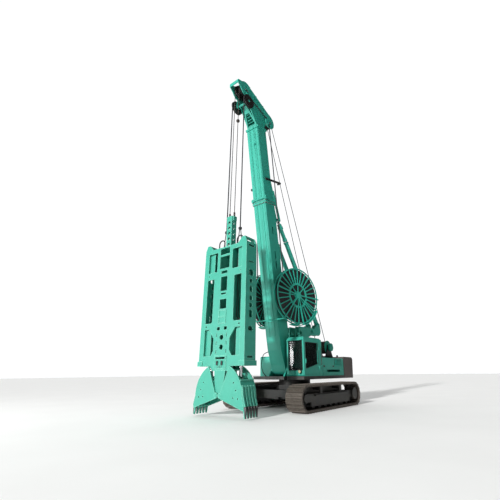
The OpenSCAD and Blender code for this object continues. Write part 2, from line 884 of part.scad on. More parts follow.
module cab_shell() {
    sill_z = cab_floor + cab_height*sill_share;
    color("mediumseagreen") at_slew() {
        difference() {
            plate_xz(cab_width, (cab_y0 + cab_y1)/2) cab_outline(0);
            plate_xz(cab_width - 2*cab_wall, (cab_y0 + cab_y1)/2) cab_outline(cab_wall);
            plate_yz(cab_wall + 2*overrun, cab_front - cab_wall/2) front_window();
            plate_yz(cab_wall + 2*overrun, cab_rear + cab_wall/2) rear_window();
            plate_xz(cab_wall + 2*overrun, cab_y0 + cab_wall/2) side_window();
            plate_xz(cab_wall + 2*overrun, cab_y1 - cab_wall/2) door_outline(0);
        }
        for (share = hinge_share) {
            z = door_low + (door_top - door_low)*share;
            translate([hinge_x, hinge_y, z - knuckle]) cylinder(r = hinge_r, h = knuckle - seat_gap);
            box(hinge_x - hinge_r, hinge_x, cab_y1 - overrun, hinge_y, z - knuckle, z - seat_gap);
        }
        for (i = [0 : front_rib_count - 1]) {
            y = cab_y0 + cab_width*(i + 0.5)/front_rib_count;
            box(cab_front - overrun, cab_front + front_rib, y - front_rib, y + front_rib,
                cab_floor + cab_round, sill_z);
        }
        box(cab_rear + cab_round, cab_front - cab_round, cab_y0 + window_inset/2, cab_y1 - window_inset/2,
            cab_roof - overrun, cab_roof + roof_cap);
        box(cab_front - overrun, cab_front + visor_reach, cab_y0 + window_inset/2, cab_y1 - window_inset/2,
            cab_floor + cab_height*window_top_share + overrun,
                cab_floor + cab_height*window_top_share + overrun + visor_thick);
    }
}

module cab_glass() {
    color("slategray") at_slew() {
        plate_yz(glass_thick, cab_front - cab_wall - glass_thick/2) front_window(glass_lap);
        plate_yz(glass_thick, cab_rear + cab_wall + glass_thick/2) rear_window(glass_lap);
        plate_xz(glass_thick, cab_y0 + cab_wall + glass_thick/2) side_window(glass_lap);
    }
}

module cab_seat() {
    seat_x = cab_rear + window_inset + seat_width*0.25;
    seat_y = (cab_y0 + cab_y1)/2;
    floor_z = cab_floor + cab_wall;
    color("dimgray") at_slew() {
        box(seat_x, seat_x + seat_width, seat_y - seat_width/3, seat_y + seat_width/3, floor_z,
            floor_z + seat_base);
        box(seat_x, seat_x + seat_width, seat_y - seat_width/2, seat_y + seat_width/2,
            floor_z + seat_base - overrun,
            floor_z + seat_base + seat_cushion);
        box(seat_x, seat_x + seat_cushion, seat_y - seat_width/2, seat_y + seat_width/2, floor_z + seat_base,
            floor_z + seat_base + seat_back);
        for (side = [-1, 1]) {
            console_y = seat_y + side*(seat_width/2 + overrun + console_width/2);
            box(seat_x + seat_cushion, seat_x + seat_width, console_y - console_width/2,
                console_y + console_width/2,
                floor_z, floor_z + seat_base + 2*seat_cushion);
        }
    }
}

module cab_door() {
    handle_x = door_front - door_frame/2;
    handle_z = cab_floor + cab_height*door_sill_rear_share;
    color("mediumseagreen") at_slew() {
        plate_xz(cab_wall, cab_y1 - cab_wall/2) difference() {
            door_outline(door_gap);
            door_window();
        }
        for (share = hinge_share) {
            z = door_low + (door_top - door_low)*share;
            translate([hinge_x, hinge_y, z]) cylinder(r = hinge_r, h = knuckle);
            box(hinge_x, door_rear + door_frame, cab_y1 + door_gap, hinge_y, z, z + knuckle);
            box(door_rear + 2*door_gap, door_rear + door_frame, cab_y1 - overrun/2, hinge_y, z, z + knuckle);
        }
        box(handle_x - handle_thick/2, handle_x + handle_thick/2, cab_y1 - overrun/2, cab_y1 + 2*handle_thick,
            handle_z, handle_z + handle_length);
    }
}

module door_glass() {
    color("slategray") at_slew() {
        plate_xz(glass_thick, cab_y1 - cab_wall - glass_thick/2) door_window(glass_lap);
    }
}

module hood(x0, x1, height) {
    rotate([90, 0, 0]) linear_extrude(height = hood_y1 - hood_y0, center = true) difference() {
        union() {
            round_rect(x0, x1, deck_top, deck_top + height, hood_round);
            translate([x0, deck_top]) square([x1 - x0, height/2]);
        }
        translate([x0 + hood_sheet, deck_top - overrun]) {
            square([x1 - x0 - 2*hood_sheet, height - hood_sheet + overrun]);
        }
    }
    for (side = [-1, 1]) plate_xz(hood_sheet, side*((hood_y1 - hood_y0)/2 - hood_sheet/2)) {
        round_rect(x0, x1, deck_top, deck_top + height, hood_round);
        translate([x0, deck_top]) square([x1 - x0, height/2]);
    }
}

module hood_left() {
    length = left_hood_front - hood_rear;
    face_y = (hood_y1 - hood_y0)/2;
    vent_z = left_hood_height*(vent_shares[3] - vent_shares[2]);
    color("mediumseagreen") at_slew() translate([0, (hood_y0 + hood_y1)/2, 0]) {
        difference() {
            hood(hood_rear, left_hood_front, left_hood_height);
            box(hood_rear + length*(1 - slot_shares[1]), hood_rear + length*(1 - slot_shares[0]),
                face_y - hood_sheet - overrun,
                face_y + overrun, deck_top + left_hood_height*slot_shares[2],
                    deck_top + left_hood_height*slot_shares[3]);
        }
        for (i = [0 : vent_count - 1]) {
            z = deck_top + left_hood_height*vent_shares[2] + vent_z*i/vent_count;
            box(hood_rear + length*vent_shares[0], hood_rear + length*vent_shares[1], face_y - hood_relief,
                face_y + hood_relief,
                z, z + vent_z/vent_count/2);
        }
        box(hood_rear + length*sill_shares[0], hood_rear + length*sill_shares[1], face_y - hood_relief,
            face_y + hood_relief,
            deck_top + left_hood_height*sill_shares[2], deck_top + left_hood_height*sill_shares[3]);
    }
}

module hood_right() {
    color("mediumseagreen") at_slew() translate([0, -(hood_y0 + hood_y1)/2, 0]) {
        hood(hood_rear, right_hood_front, right_hood_height);
    }
}

module engine_block() {
    color("dimgray") at_slew() {
        box(hood_rear, engine_front, -engine_half, engine_half, deck_top, deck_top + engine_height);
    }
}

module exhaust_stack() {
    stack_x = (hood_rear + engine_front)/2;
    stack_z = deck_top + right_hood_height;
    color("dimgray") at_slew() translate([stack_x, -(hood_y0 + hood_y1)/2, stack_z]) {
        cylinder(r = stack_r*1.6, h = stack_height*0.55);
        cylinder(r = stack_r, h = stack_height);
    }
}

module stand_outline() {
    polygon([[winch_x - stand_half_x, weight_top], [winch_x + stand_half_x, weight_top],
        [winch_x + drum_shaft_r*2.5, winch_z], [winch_x - drum_shaft_r*2.5, winch_z]]);
    translate([winch_x, winch_z]) circle(r = drum_shaft_r*2.5);
}

module winch_stand() {
    motor_y = stand_outer_y + stand_plate/2 - overrun + winch_motor/2;
    color("dimgray") at_slew() {
        difference() {
            for (y = [-stand_outer_y, 0, stand_outer_y]) plate_xz(stand_plate, y) stand_outline();
            pin_y(drum_shaft_r + pin_gap, 2*stand_outer_y + stand_plate + overrun, winch_x, 0, winch_z);
        }
        for (side = [-1, 1]) pin_y(winch_motor_r, winch_motor, winch_x, side*motor_y, winch_z);
        box(winch_x - stand_half_x, winch_x + stand_half_x, -stand_outer_y - stand_plate/2,
            stand_outer_y + stand_plate/2, weight_top, weight_top + stand_base);
    }
}

module winch_drum(side) {
    color("teal") at_slew() translate([winch_x, side*drum_y, winch_z]) {
        pin_y(drum_rope_r, drum_width - drum_flange);
        for (face = [-1, 1]) pin_y(drum_flange_r, drum_flange, 0, face*(drum_width - drum_flange)/2, 0);
        pin_y(drum_shaft_r, drum_width + 2*drum_gap + stand_plate*0.8);
    }
}

// The gantry's cheek: a foot on the turntable, an arm to the rear and the cylinder's eye
module gantry_outline() {
    bend_x = gantry_x - horn_half + gantry_bend_r;
    difference() {
        polygon([[gantry_base_rear, deck_top], [gantry_base_front, deck_top],
            [gantry_base_front - gantry_taper, gantry_high], [gantry_x + horn_half + gantry_bend_r/2,
                gantry_high],
            [gantry_x + horn_half, gantry_high + gantry_bend_r/2], [gantry_x + eye_r, gantry_eye_z],
            [gantry_x - eye_r, gantry_eye_z], [gantry_x - horn_half, gantry_low + gantry_bend_r],
            [bend_x, gantry_low], [gantry_base_rear - gantry_taper, gantry_low]]);
        for (hole = gantry_holes) translate(hole) circle(r = gantry_hole_r);
    }
    translate([bend_x, gantry_low + gantry_bend_r]) circle(r = gantry_bend_r);
    translate([gantry_x, gantry_eye_z]) circle(r = eye_r);
}

module gantry() {
    color("mediumseagreen") at_slew() {
        for (side = [-1, 1], face = [-1, 1]) plate_xz(gantry_plate,
            side*luff_y + face*gantry_y) gantry_outline();
        for (side = [-1, 1]) {
            pin_y(luff_pin_r, 2*gantry_y + gantry_plate + overrun, gantry_x, side*luff_y, gantry_eye_z);
        }
        pin_y(gantry_tube_r, 2*(luff_y + gantry_y), gantry_x - horn_half + gantry_bend_r, 0,
            gantry_low + gantry_bend_r);
        box(gantry_base_rear, (gantry_base_front + gantry_base_rear)/2, -luff_y - gantry_y,
            luff_y + gantry_y, deck_top,
            gantry_low);
    }
}

// Mast

module boom_outline(inset = 0) {
    bend = boom_length*foot_w_share;
    polygon([[boom_rear + inset, bend], [-foot_r + inset, 0], [foot_r - inset, 0],
        [boom_front*0.55, foot_r*1.4], [boom_front*0.93 - inset, bend*0.6], [boom_front - inset, bend],
        [boom_front - inset, boom_length], [boom_rear + inset, boom_length]]);
    circle(r = foot_r - inset);
}

module lower_boom() {
    bend = boom_length*foot_w_share;
    color("mediumseagreen") on_mast() {
        difference() {
            plate_xz(mast_width) boom_outline();
            box(boom_rear + mast_wall, boom_front - mast_wall, -mast_width/2 + mast_wall,
                mast_width/2 - mast_wall,
                bend, boom_length + overrun);
            pin_y(foot_pin_r + pin_gap, mast_width + overrun);
            for (share = mast_slot_shares) plate_xz(mast_width + overrun) {
                translate([0, boom_length*share]) rotate(90) slot_shape(mast_slot, mast_slot_r);
            }
        }
        difference() {
            box(boom_rear - flange_lip, boom_front + flange_lip, -mast_width/2 - flange_lip,
                mast_width/2 + flange_lip, boom_length - flange_plate, boom_length);
            box(boom_rear + mast_wall, boom_front - mast_wall, -mast_width/2 + mast_wall,
                mast_width/2 - mast_wall,
                boom_length - flange_plate - overrun, boom_length + overrun);
        }
        for (side = [-1, 1]) {
            box(boom_front - mast_rib, boom_front + mast_rib, side*mast_width*mast_rib_share - mast_rib/2,
                side*mast_width*mast_rib_share + mast_rib/2, bend, boom_length - flange_plate/2);
        }
        plate_yz(doubler, boom_front) {
            translate([-mast_width*doubler_share/2, bend]) {
                square([mast_width*doubler_share, boom_length*doubler_top_share - bend]);
            }
            translate([0, boom_length*doubler_top_share]) circle(r = mast_width*doubler_share/2);
        }
    }
}

module luff_lug_outline() {
    polygon([[boom_rear, lug_top_w], [lug_top_u, lug_top_w], [luff_eye_u - eye_r, luff_eye_w],
        [luff_eye_u + eye_r, luff_eye_w], [boom_rear - 2*flange_lip,
            boom_length - 2*flange_plate - flange_lip],
        [boom_rear - 2*flange_lip, boom_length], [boom_rear, boom_length]]);
    translate([luff_eye_u, luff_eye_w]) circle(r = eye_r);
}

module upper_outline(inset = 0, low = 0) {
    polygon([[upper_rear_low + inset, boom_length - low], [boom_front - inset, boom_length - low],
        [boom_front - inset, mast_top_w - inset], [upper_rear_high + inset, mast_top_w - inset],
        [waist_rear + inset, boom_length + waist_rise]]);
}

module upper_mast() {
    cross_w = boom_length + cross_rise;
    color("mediumseagreen") on_mast() {
        difference() {
            plate_xz(mast_width) upper_outline();
            plate_xz(mast_width - 2*mast_wall) upper_outline(mast_wall, overrun);
        }
        difference() {
            box(upper_rear_low - flange_lip, boom_front + flange_lip, -mast_width/2 - flange_lip,
                mast_width/2 + flange_lip, boom_length, boom_length + flange_plate);
            box(upper_rear_low + mast_wall, boom_front - mast_wall, -mast_width/2 + mast_wall,
                mast_width/2 - mast_wall, boom_length - overrun, boom_length + flange_plate + overrun);
        }
        box(upper_rear_high - flange_lip, boom_front + flange_lip, -mast_width/2 - flange_lip,
            mast_width/2 + flange_lip, mast_top_w - mast_wall, mast_top_w - mast_wall + collar_plate);
        for (side = [-1, 1]) {
            for (face = [-1, 1]) plate_xz(gantry_plate, side*luff_y + face*gantry_y) luff_lug_outline();
            for (face = [-1, 1]) {
                pin_y(luff_pin_r, gantry_plate + overrun, luff_eye_u,
                    side*luff_y + face*(gantry_y + overrun/2),
                    luff_eye_w);
            }
            box(boom_front - mast_rib, boom_front + mast_rib, side*mast_width*mast_rib_share - mast_rib/2,
                side*mast_width*mast_rib_share + mast_rib/2, boom_length + flange_plate/2, mast_top_w);
            translate([boom_front - cross_pin_r, side*(mast_width + cross_block)/2, cross_w]) {
                cube([4*cross_pin_r, cross_block + overrun, 4*cross_pin_r], center = true);
            }
        }
        pin_y(cross_pin_r, mast_width + 2*cross_block + 2*overrun, boom_front + cross_pin_r/2, 0, cross_w);
    }
}

function head_at(t, s) = [rear_axle_x + (front_axle_x - rear_axle_x)*t - (front_axle_z - rear_axle_z)*s,
    rear_axle_z + (front_axle_z - rear_axle_z)*t + (front_axle_x - rear_axle_x)*s];

module cheek_outline() {
    translate([front_axle_x, front_axle_z]) circle(r = cheek_r);
    translate([rear_axle_x, rear_axle_z]) circle(r = cheek_r);
    polygon([[front_axle_x, front_axle_z + cheek_r], [front_axle_x, front_axle_z - cheek_r],
        [rear_axle_x, rear_axle_z - cheek_r], [rear_axle_x, rear_axle_z + cheek_r]]);
    polygon([[front_axle_x, front_axle_z + cheek_r*0.9],
        [front_axle_x + nose_reach, front_axle_z + cheek_r*nose_share],
        [front_axle_x + nose_reach, front_axle_z], [front_axle_x + cheek_r*0.7, front_axle_z - cheek_r*0.6]]);
    polygon([[mast_top[0] - neck, mast_top[1] + seat_slope(-neck)], frame_base, frame_apex,
        [front_axle_x - cheek_r/2, front_axle_z - cheek_r*0.6], [rear_axle_x + cheek_r*0.6, rear_axle_z]]);
}

// Shallow pockets in the cheeks' outer faces
module cheek_pockets() {
    for (pocket = pocket_shares) polygon([head_at(pocket[0], pocket[2]), head_at(pocket[1], pocket[2]),
        head_at(pocket[1], pocket[3]), head_at(pocket[0], pocket[3])]);
}
function seat_slope(x) = -x*tan(mast_lean);

module front_frame_outline() {
    slope = (frame_half - frame_top_half)/frame_run;
    low = frame_run*frame_window_shares[0];
    high = frame_run*frame_window_shares[1];
    difference() {
        polygon([[-frame_half, 0], [frame_half, 0], [frame_top_half, frame_run], [-frame_top_half,
            frame_run]]);
        polygon([[-frame_half + frame_leg + slope*low, low], [frame_half - frame_leg - slope*low, low],
            [frame_half - frame_leg - slope*high, high], [-frame_half + frame_leg + slope*high, high]]);
    }
}

module mast_head() {
    saddle_length = hose_y + 2*hose_r - cheek_y;
    head_run = norm([front_axle_x - rear_axle_x, front_axle_z - rear_axle_z]);
    color("teal") at_slew() {
        for (side = [-1, 1]) difference() {
            plate_xz(cheek_plate, side*cheek_y) cheek_outline();
            plate_xz(cheek_plate, side*(cheek_y + cheek_plate/2)) cheek_pockets();
        }
        for (place = [[front_axle_x, front_axle_z], [rear_axle_x, rear_axle_z]]) {
            pin_y(axle_r, 2*cheek_y + cheek_plate + overrun, place[0], 0, place[1]);
        }
        cross = head_at(0.5, 0);
        pin_y(axle_r*2, 2*cheek_y, cross[0], 0, cross[1] - cheek_r/2);
        for (share = keeper_shares) {
            place = head_at(share, keeper_rise/head_run);
            pin_y(keeper_r, 2*cheek_y + 2*cheek_plate, place[0], 0, place[1]);
        }
        box(front_axle_x + nose_reach - cheek_plate, front_axle_x + nose_reach, -cheek_y, cheek_y,
            front_axle_z,
            front_axle_z + cheek_r*nose_share);
        translate([frame_base[0], 0, frame_base[1]]) rotate([0, frame_tilt, 0]) {
            plate_yz(cheek_plate, -cheek_plate/2) front_frame_outline();
            for (i = [1 : rung_count]) pin_y(rung_r, 2*cheek_y, -2*cheek_plate, 0,
                frame_run*i/(rung_count + 1));
        }
        for (side = [-1, 1]) {
            plate_xz(hose_arm_plate, side*(cheek_y + cheek_plate/2 + hose_arm_plate/2)) {
                polygon([[front_axle_x, front_axle_z - cheek_r/2], [front_axle_x - cheek_r,
                    front_axle_z - cheek_r/2],
                    [hose_axle_x - 2*axle_r, hose_axle_z], [hose_axle_x + 2*axle_r, hose_axle_z]]);
                translate([hose_axle_x, hose_axle_z]) circle(r = 2*axle_r);
            }
            pin_y(saddle_r, saddle_length, saddle_x, side*(cheek_y + saddle_length/2), saddle_z);
        }
        pin_y(axle_r, 2*hose_y + hose_wheel_width + overrun, hose_axle_x, 0, hose_axle_z);
    }
}

module sheave(groove_r, rim_r, width) {
    rotate([90, 0, 0]) rotate_extrude() polygon([[axle_r + pin_gap, -width/2], [rim_r, -width/2],
        [groove_r, -width/6], [groove_r, width/6], [rim_r, width/2], [axle_r + pin_gap, width/2]]);
}

module front_sheaves() {
    color("dimgray") at_slew() {
        for (side = [-1, 1]) translate([front_axle_x, side*rope_y, front_axle_z]) {
            sheave(sheave_groove_r, sheave_rim_r, sheave_width);
        }
        translate([front_axle_x, 0, front_axle_z]) rotate([90, 0, 0]) difference() {
            cylinder(r = sheave_hub_r, h = 2*rope_y, center = true);
            cylinder(r = axle_r + pin_gap, h = 2*rope_y + overrun, center = true);
        }
    }
}

module rear_sheaves() {
    color("dimgray") at_slew() {
        for (side = [-1, 1]) translate([rear_axle_x, side*rope_y, rear_axle_z]) {
            sheave(sheave_groove_r, sheave_rim_r, sheave_width);
        }
        translate([rear_axle_x, 0, rear_axle_z]) rotate([90, 0, 0]) difference() {
            cylinder(r = sheave_hub_r, h = 2*rope_y, center = true);
            cylinder(r = axle_r + pin_gap, h = 2*rope_y + overrun, center = true);
        }
    }
}

module hose_wheels() {
    color("dimgray") at_slew() for (side = [-1, 1]) translate([hose_axle_x, side*hose_y, hose_axle_z]) {
        sheave(hose_groove_r, hose_rim_r, hose_wheel_width);
    }
}

// The hoist ropes' run over the head, from the front sheaves to the rear sheaves
module head_ropes() {
    head_run = norm([front_axle_x - rear_axle_x, front_axle_z - rear_axle_z]);
    run_tilt = atan2(front_axle_z - rear_axle_z, front_axle_x - rear_axle_x);
    lift = [-sin(run_tilt)*sheave_pitch_r, cos(run_tilt)*sheave_pitch_r];
    color("dimgray") at_slew() for (side = [-1, 1]) {
        translate([rear_axle_x + lift[0], side*rope_y, rear_axle_z + lift[1]]) rotate([0, 90 - run_tilt, 0]) {
            translate([0, 0, seat_gap]) cylinder(r = rope_r, h = head_run - 2*seat_gap);
        }
        translate([front_axle_x, side*rope_y, front_axle_z]) rotate([90, 0, 0]) rotate(luff_travel) {
            rotate_extrude(angle = 90 + run_tilt - luff_travel) translate([sheave_pitch_r,
                0]) circle(r = rope_r);
        }
        translate([rear_axle_x, side*rope_y, rear_axle_z]) rotate([90, 0, 0]) rotate(90 + run_tilt) {
            rotate_extrude(angle = 90 + back_turn - run_tilt) translate([sheave_pitch_r,
                0]) circle(r = rope_r);
        }
    }
}

module rope_guide() {
    guide_w = boom_length + upper_length*guide_w_share;
    color("dimgray") on_mast() {
        plate_xz(cheek_plate, mast_width/2 + cheek_plate/2) {
            polygon([[boom_front/2, guide_w - guide_r], [boom_front/2, guide_w + guide_r],
                [waist_rear - guide_reach, guide_w + 3*guide_r], [waist_rear - guide_reach,
                    guide_w + guide_r]]);
        }
        pin_y(guide_r, mast_width/4, waist_rear - guide_reach, mast_width/2 + cheek_plate - mast_width/8,
            guide_w + 2*guide_r);
    }
}

// Hose reels: the axle frame lies behind the boom, toed in towards the front

module at_reel(side) {
    place = mast_point([-reel_back, reel_up]);
    at_slew() translate([place[0], side*reel_y, place[1]]) rotate([0, 0, -side*reel_toe]) children();
}

module reel_carrier() {
    arm_y = guard_width/2 - guard_plate;
    inner_end = reel_y - carrier_half;
    color("mediumseagreen") {
        on_mast() box(boom_rear - carrier_size, boom_rear, -carrier_half, carrier_half,
            reel_up - carrier_size/2,
            reel_up + carrier_size/2);
        for (side = [-1, 1]) at_reel(side) {
            pin_y(reel_axle_r, inner_end + guard_width/2, 0, side*(guard_width/2 - inner_end)/2, 0);
            rotate([90, 0, 0]) rotate(guard_turn - guard_arc/2) rotate_extrude(angle = guard_arc) {
                translate([reel_r + guard_gap, -guard_width/2]) square([guard_plate, guard_width]);
            }
            plate_xz(guard_plate, side*arm_y) {
                circle(r = reel_hub_r);
                for (turn = guard_arms) rotate(turn) translate([0, -guard_arm/2]) {
                    square([reel_r + guard_gap + guard_plate/2, guard_arm]);
                }
                rotate(tie_turn) translate([0, -guard_arm/2]) square([tie_reach, guard_arm]);
            }
            plate_xz(guard_plate, -side*arm_y) for (turn = guard_arms) if (turn < tie_turn) rotate(turn) {
                translate([0, -guard_arm/2]) square([reel_r + guard_gap + guard_plate/2, guard_arm]);
            }
        }
        tie = mast_point([-reel_back, reel_up]) + [tie_reach*cos(tie_turn)*cos(reel_toe),
            tie_reach*sin(tie_turn)];
        tie_y = reel_y - tie_reach*cos(tie_turn)*sin(reel_toe) + guard_width/2;
        at_slew() pin_y(tie_r, 2*tie_y, tie[0], 0, tie[1]);
    }
}

module hose_reel(side) {
    rim_mid = reel_r - reel_rim;
    color("mediumseagreen") at_reel(side) {
        for (face = [-1, 1]) {
            plate_xz(reel_rim, face*(reel_face + reel_rim/2)) {
                difference() {
                    circle(r = reel_r);
                    circle(r = reel_r - reel_rim*1.5);
                }
                difference() {
                    circle(r = reel_inner_r);
                    circle(r = reel_inner_r - inner_ring);
                }
                for (i = [0 : spoke_count - 1]) rotate(i*360/spoke_count) {
                    translate([reel_inner_r - reel_rim, -spoke_width/2]) {
                        square([rim_mid - reel_inner_r + reel_rim, spoke_width]);
                    }
                }
                for (i = [0 : inner_spokes - 1]) rotate(i*360/inner_spokes) {
                    translate([reel_hub_r, -spoke_width/2]) square([reel_inner_r - reel_hub_r
                        - inner_ring/2, spoke_width]);
                }
            }
        }
        rotate([90, 0, 0]) difference() {
            cylinder(r = reel_hub_r + reel_rim, h = reel_width + 2*reel_rim, center = true);
            cylinder(r = reel_axle_r + pin_gap, h = reel_width + 2*reel_rim + overrun, center = true);
        }
    }
}

module hose_coil(side) {
    color("dimgray") at_reel(side) rotate([90, 0, 0]) difference() {
        cylinder(r = coil_r, h = reel_width, center = true);
        cylinder(r = reel_hub_r + reel_rim, h = reel_width + overrun, center = true);
    }
}

// Luff cylinders and ropes

module at_luff(side) {
    at_slew() translate([luff_low[0], side*luff_y, luff_low[1]]) rotate([0, luff_turn, 0]) children();
}

module luff_barrels() {
    barrel_end = luff_barrel_length - luff_gland;
    color("mediumseagreen") for (side = [-1, 1]) at_luff(side) difference() {
        union() {
            pin_y(eye_r, luff_eye_width);
            box(-eye_r, eye_r, -luff_eye_width/2, luff_eye_width/2, 0, luff_neck);
            translate([0, 0, luff_neck - overrun]) cylinder(r = luff_barrel_r,
                h = barrel_end - luff_neck + overrun);
            for (share = luff_collar_shares) {
                translate([0, 0, luff_barrel_length*share]) cylinder(r = luff_gland_r, h = luff_gland);
            }
            translate([0, 0, barrel_end]) cylinder(r = luff_gland_r, h = luff_gland);
        }
        pin_y(luff_pin_r + pin_gap, luff_eye_width + overrun);
        translate([0, 0, luff_run - luff_rod_in - luff_run*(1 - luff_barrel_share)]) {
            cylinder(r = luff_rod_r + pin_gap, h = luff_run);
        }
    }
}

module luff_rods() {
    rod_length = luff_rod_in + luff_run*(1 - luff_barrel_share) - overrun;
    color("silver") for (side = [-1, 1]) at_luff(side) translate([0, 0, luff_run]) {
        pin_y(eye_r, luff_eye_width);
        translate([0, 0, -rod_length]) cylinder(r = luff_rod_r, h = rod_length);
    }
}

module back_ropes() {
    color("dimgray") at_slew() for (side = [-1, 1]) {
        tube_between([rope_top[0], side*rope_y, rope_top[1]], [rope_low[0], side*drum_y, rope_low[1]],
            rope_r, joint_gap);
    }
}

// The hoses' run from the front guide wheels over the head and its rear saddle down to the reels
module feed_hoses() {
    wheel = [hose_axle_x, hose_axle_z];
    saddle = [saddle_x, saddle_z];
    saddle_line = saddle_r + hose_r + seat_gap;
    across = saddle - wheel;
    top_turn = (360 + atan2(across[1], across[0])) % 360 - acos((hose_wheel_r - saddle_line)/norm(across));
    top = [cos(top_turn), sin(top_turn)];
    reel = mast_point([-reel_back, reel_up]);
    entry = (coil_r + hose_r + side_gap)*[cos(entry_turn), sin(entry_turn)];
    low = reel + [entry[0]*cos(reel_toe), entry[1]];
    low_y = reel_y - entry[0]*sin(reel_toe);
    down = low - saddle;
    rear_turn = 360 + atan2(down[1], down[0]) - acos(saddle_line/norm(down));
    rear = saddle + saddle_line*[cos(rear_turn), sin(rear_turn)];
    color("dimgray") at_slew() for (side = [-1, 1]) {
        translate([wheel[0], side*hose_y, wheel[1]]) rotate([90, 0, 0]) rotate(arc_start) {
            rotate_extrude(angle = top_turn - arc_start) translate([hose_wheel_r, 0]) circle(r = hose_r);
        }
        from = wheel + hose_wheel_r*top;
        to = saddle + saddle_line*top;
        tube_between([from[0], side*hose_y, from[1]], [to[0], side*hose_y, to[1]], hose_r, seat_gap);
        translate([saddle[0], side*hose_y, saddle[1]]) rotate([90, 0, 0]) rotate(top_turn) {
            rotate_extrude(angle = rear_turn - top_turn) translate([saddle_line, 0]) circle(r = hose_r);
        }
        tube_between([rear[0], side*hose_y, rear[1]], [low[0], side*low_y, low[1]], hose_r, joint_gap);
    }
}

// Grab

module at_grab() {
    at_slew() translate([grab_x, 0, 0]) children();
}

function grab_z(share) = grab_bottom + grab_height*share;

module bay_outline(side, bay) {
    inner = rail_outer*bay[2];
    outer = post_inner - bay_lip;
    low = rail_outer*bay[3];
    high = rail_outer*bay[4];
    polygon([[side*inner, grab_z(bay[0]) + 1.5*low], [side*(inner + low), grab_z(bay[0])], [side*outer,
        grab_z(bay[0])],
        [side*outer, grab_z(bay[1])], [side*(inner + high), grab_z(bay[1])], [side*inner,
            grab_z(bay[1]) - 1.4*high]]);
}

function foot_points(side) = [for (p = foot_shares) [side*rail_outer*p[0],
    foot_block_low + foot_block_height*p[1]]];
function ear_points(side) = [[side*grab_width/2, grab_top - ear_drop], [side*grab_width/2*ear_shares[0],
    grab_top],
    [side*grab_width/2*ear_shares[1], grab_top], [side*grab_width/2*ear_shares[2], hang_base]];
function turned(points) = [for (i = [len(points) - 1 : -1 : 0]) points[i]];

module face_outline() {
    difference() {
        union() {
            difference() {
                polygon(concat([[-grab_width/2, grab_bottom], [grab_width/2, grab_bottom]], ear_points(1),
                    turned(ear_points(-1))));
                for (side = [-1, 1], bay = bay_table_shares) bay_outline(side, bay);
            }
            polygon(concat(foot_points(1), turned(foot_points(-1))));
        }
        for (hole = column_shares) {
            translate([0, (grab_z(hole[0]) + grab_z(hole[1]))/2]) {
                square([column_width*hole[2], grab_height*(hole[1] - hole[0])], center = true);
            }
        }
        for (share = round_holes_shares) translate([0, grab_z(share)]) circle(r = round_hole_r);
        for (side = [-1, 1]) {
            for (place = square_holes_shares) translate([side*rail_outer*place[0], grab_z(place[1])]) {
                square([1.3*square_hole, square_hole], center = true);
            }
            for (share = edge_slot_shares) translate([side*rail_outer*edge_slot_y_share, grab_z(share)]) {
                rotate(90) slot_shape(edge_slot, edge_slot_r);
            }
            for (share = rail_hole_shares) translate([side*(post_inner - 2*rail_hole_r), grab_z(share)]) {
                circle(r = rail_hole_r);
            }
        }
        shield_opening();
    }
}

function foot_z_at(share) = foot_block_low + foot_block_height*share;

module shield_opening() {
    half = rail_outer*shield_half_share*0.8;
    translate([-half, foot_z_at(shield_slot_shares[0])]) {
        square([2*half, foot_block_height*(shield_slot_shares[1] - shield_slot_shares[0])]);
    }
    for (i = [-1 : 1]) translate([i*2.4*tine - tine/2, foot_z_at(tine_shares[0])]) {
        square([tine, foot_block_height*(tine_shares[1] - tine_shares[0])]);
    }
}

module shield_outline() {
    half = rail_outer*shield_half_share;
    difference() {
        translate([-half, foot_z_at(shield_shares[0])]) {
            square([2*half, foot_block_height*(shield_shares[1] - shield_shares[0])]);
        }
        shield_opening();
    }
}

module relief_outline() {
    half = rail_outer*relief_half_share;
    height = grab_height*(relief_shares[1] - relief_shares[0]);
    difference() {
        translate([-half, grab_z(relief_shares[0])]) square([2*half, height]);
        for (i = [0, 1]) translate([-half + skirt, grab_z(relief_shares[0]) + skirt + i*height/2]) {
            square([2*half - 3*skirt, height/2 - 1.5*skirt]);
        }
    }
}

module side_outline(top) {
    difference() {
        translate([-grab_thick/2, grab_bottom]) square([grab_thick, top - grab_bottom]);
        for (slot = side_slot_shares) translate([0, grab_z(slot[0])]) {
            height = grab_height*slot[1];
            width = grab_thick*slot[2];
            round_rect(-width/2, width/2, -height/2, height/2, height*0.3);
        }
    }
}

module bracket_outline() {
    polygon([[-bracket_top_half, foot_block_low + overrun], [bracket_top_half, foot_block_low + overrun],
        [jaw_pin_y + jaw_hub_r*0.8, jaw_pin_z], [-jaw_pin_y - jaw_hub_r*0.8, jaw_pin_z]]);
    for (side = [-1, 1]) translate([side*jaw_pin_y, jaw_pin_z]) circle(r = jaw_hub_r);
}

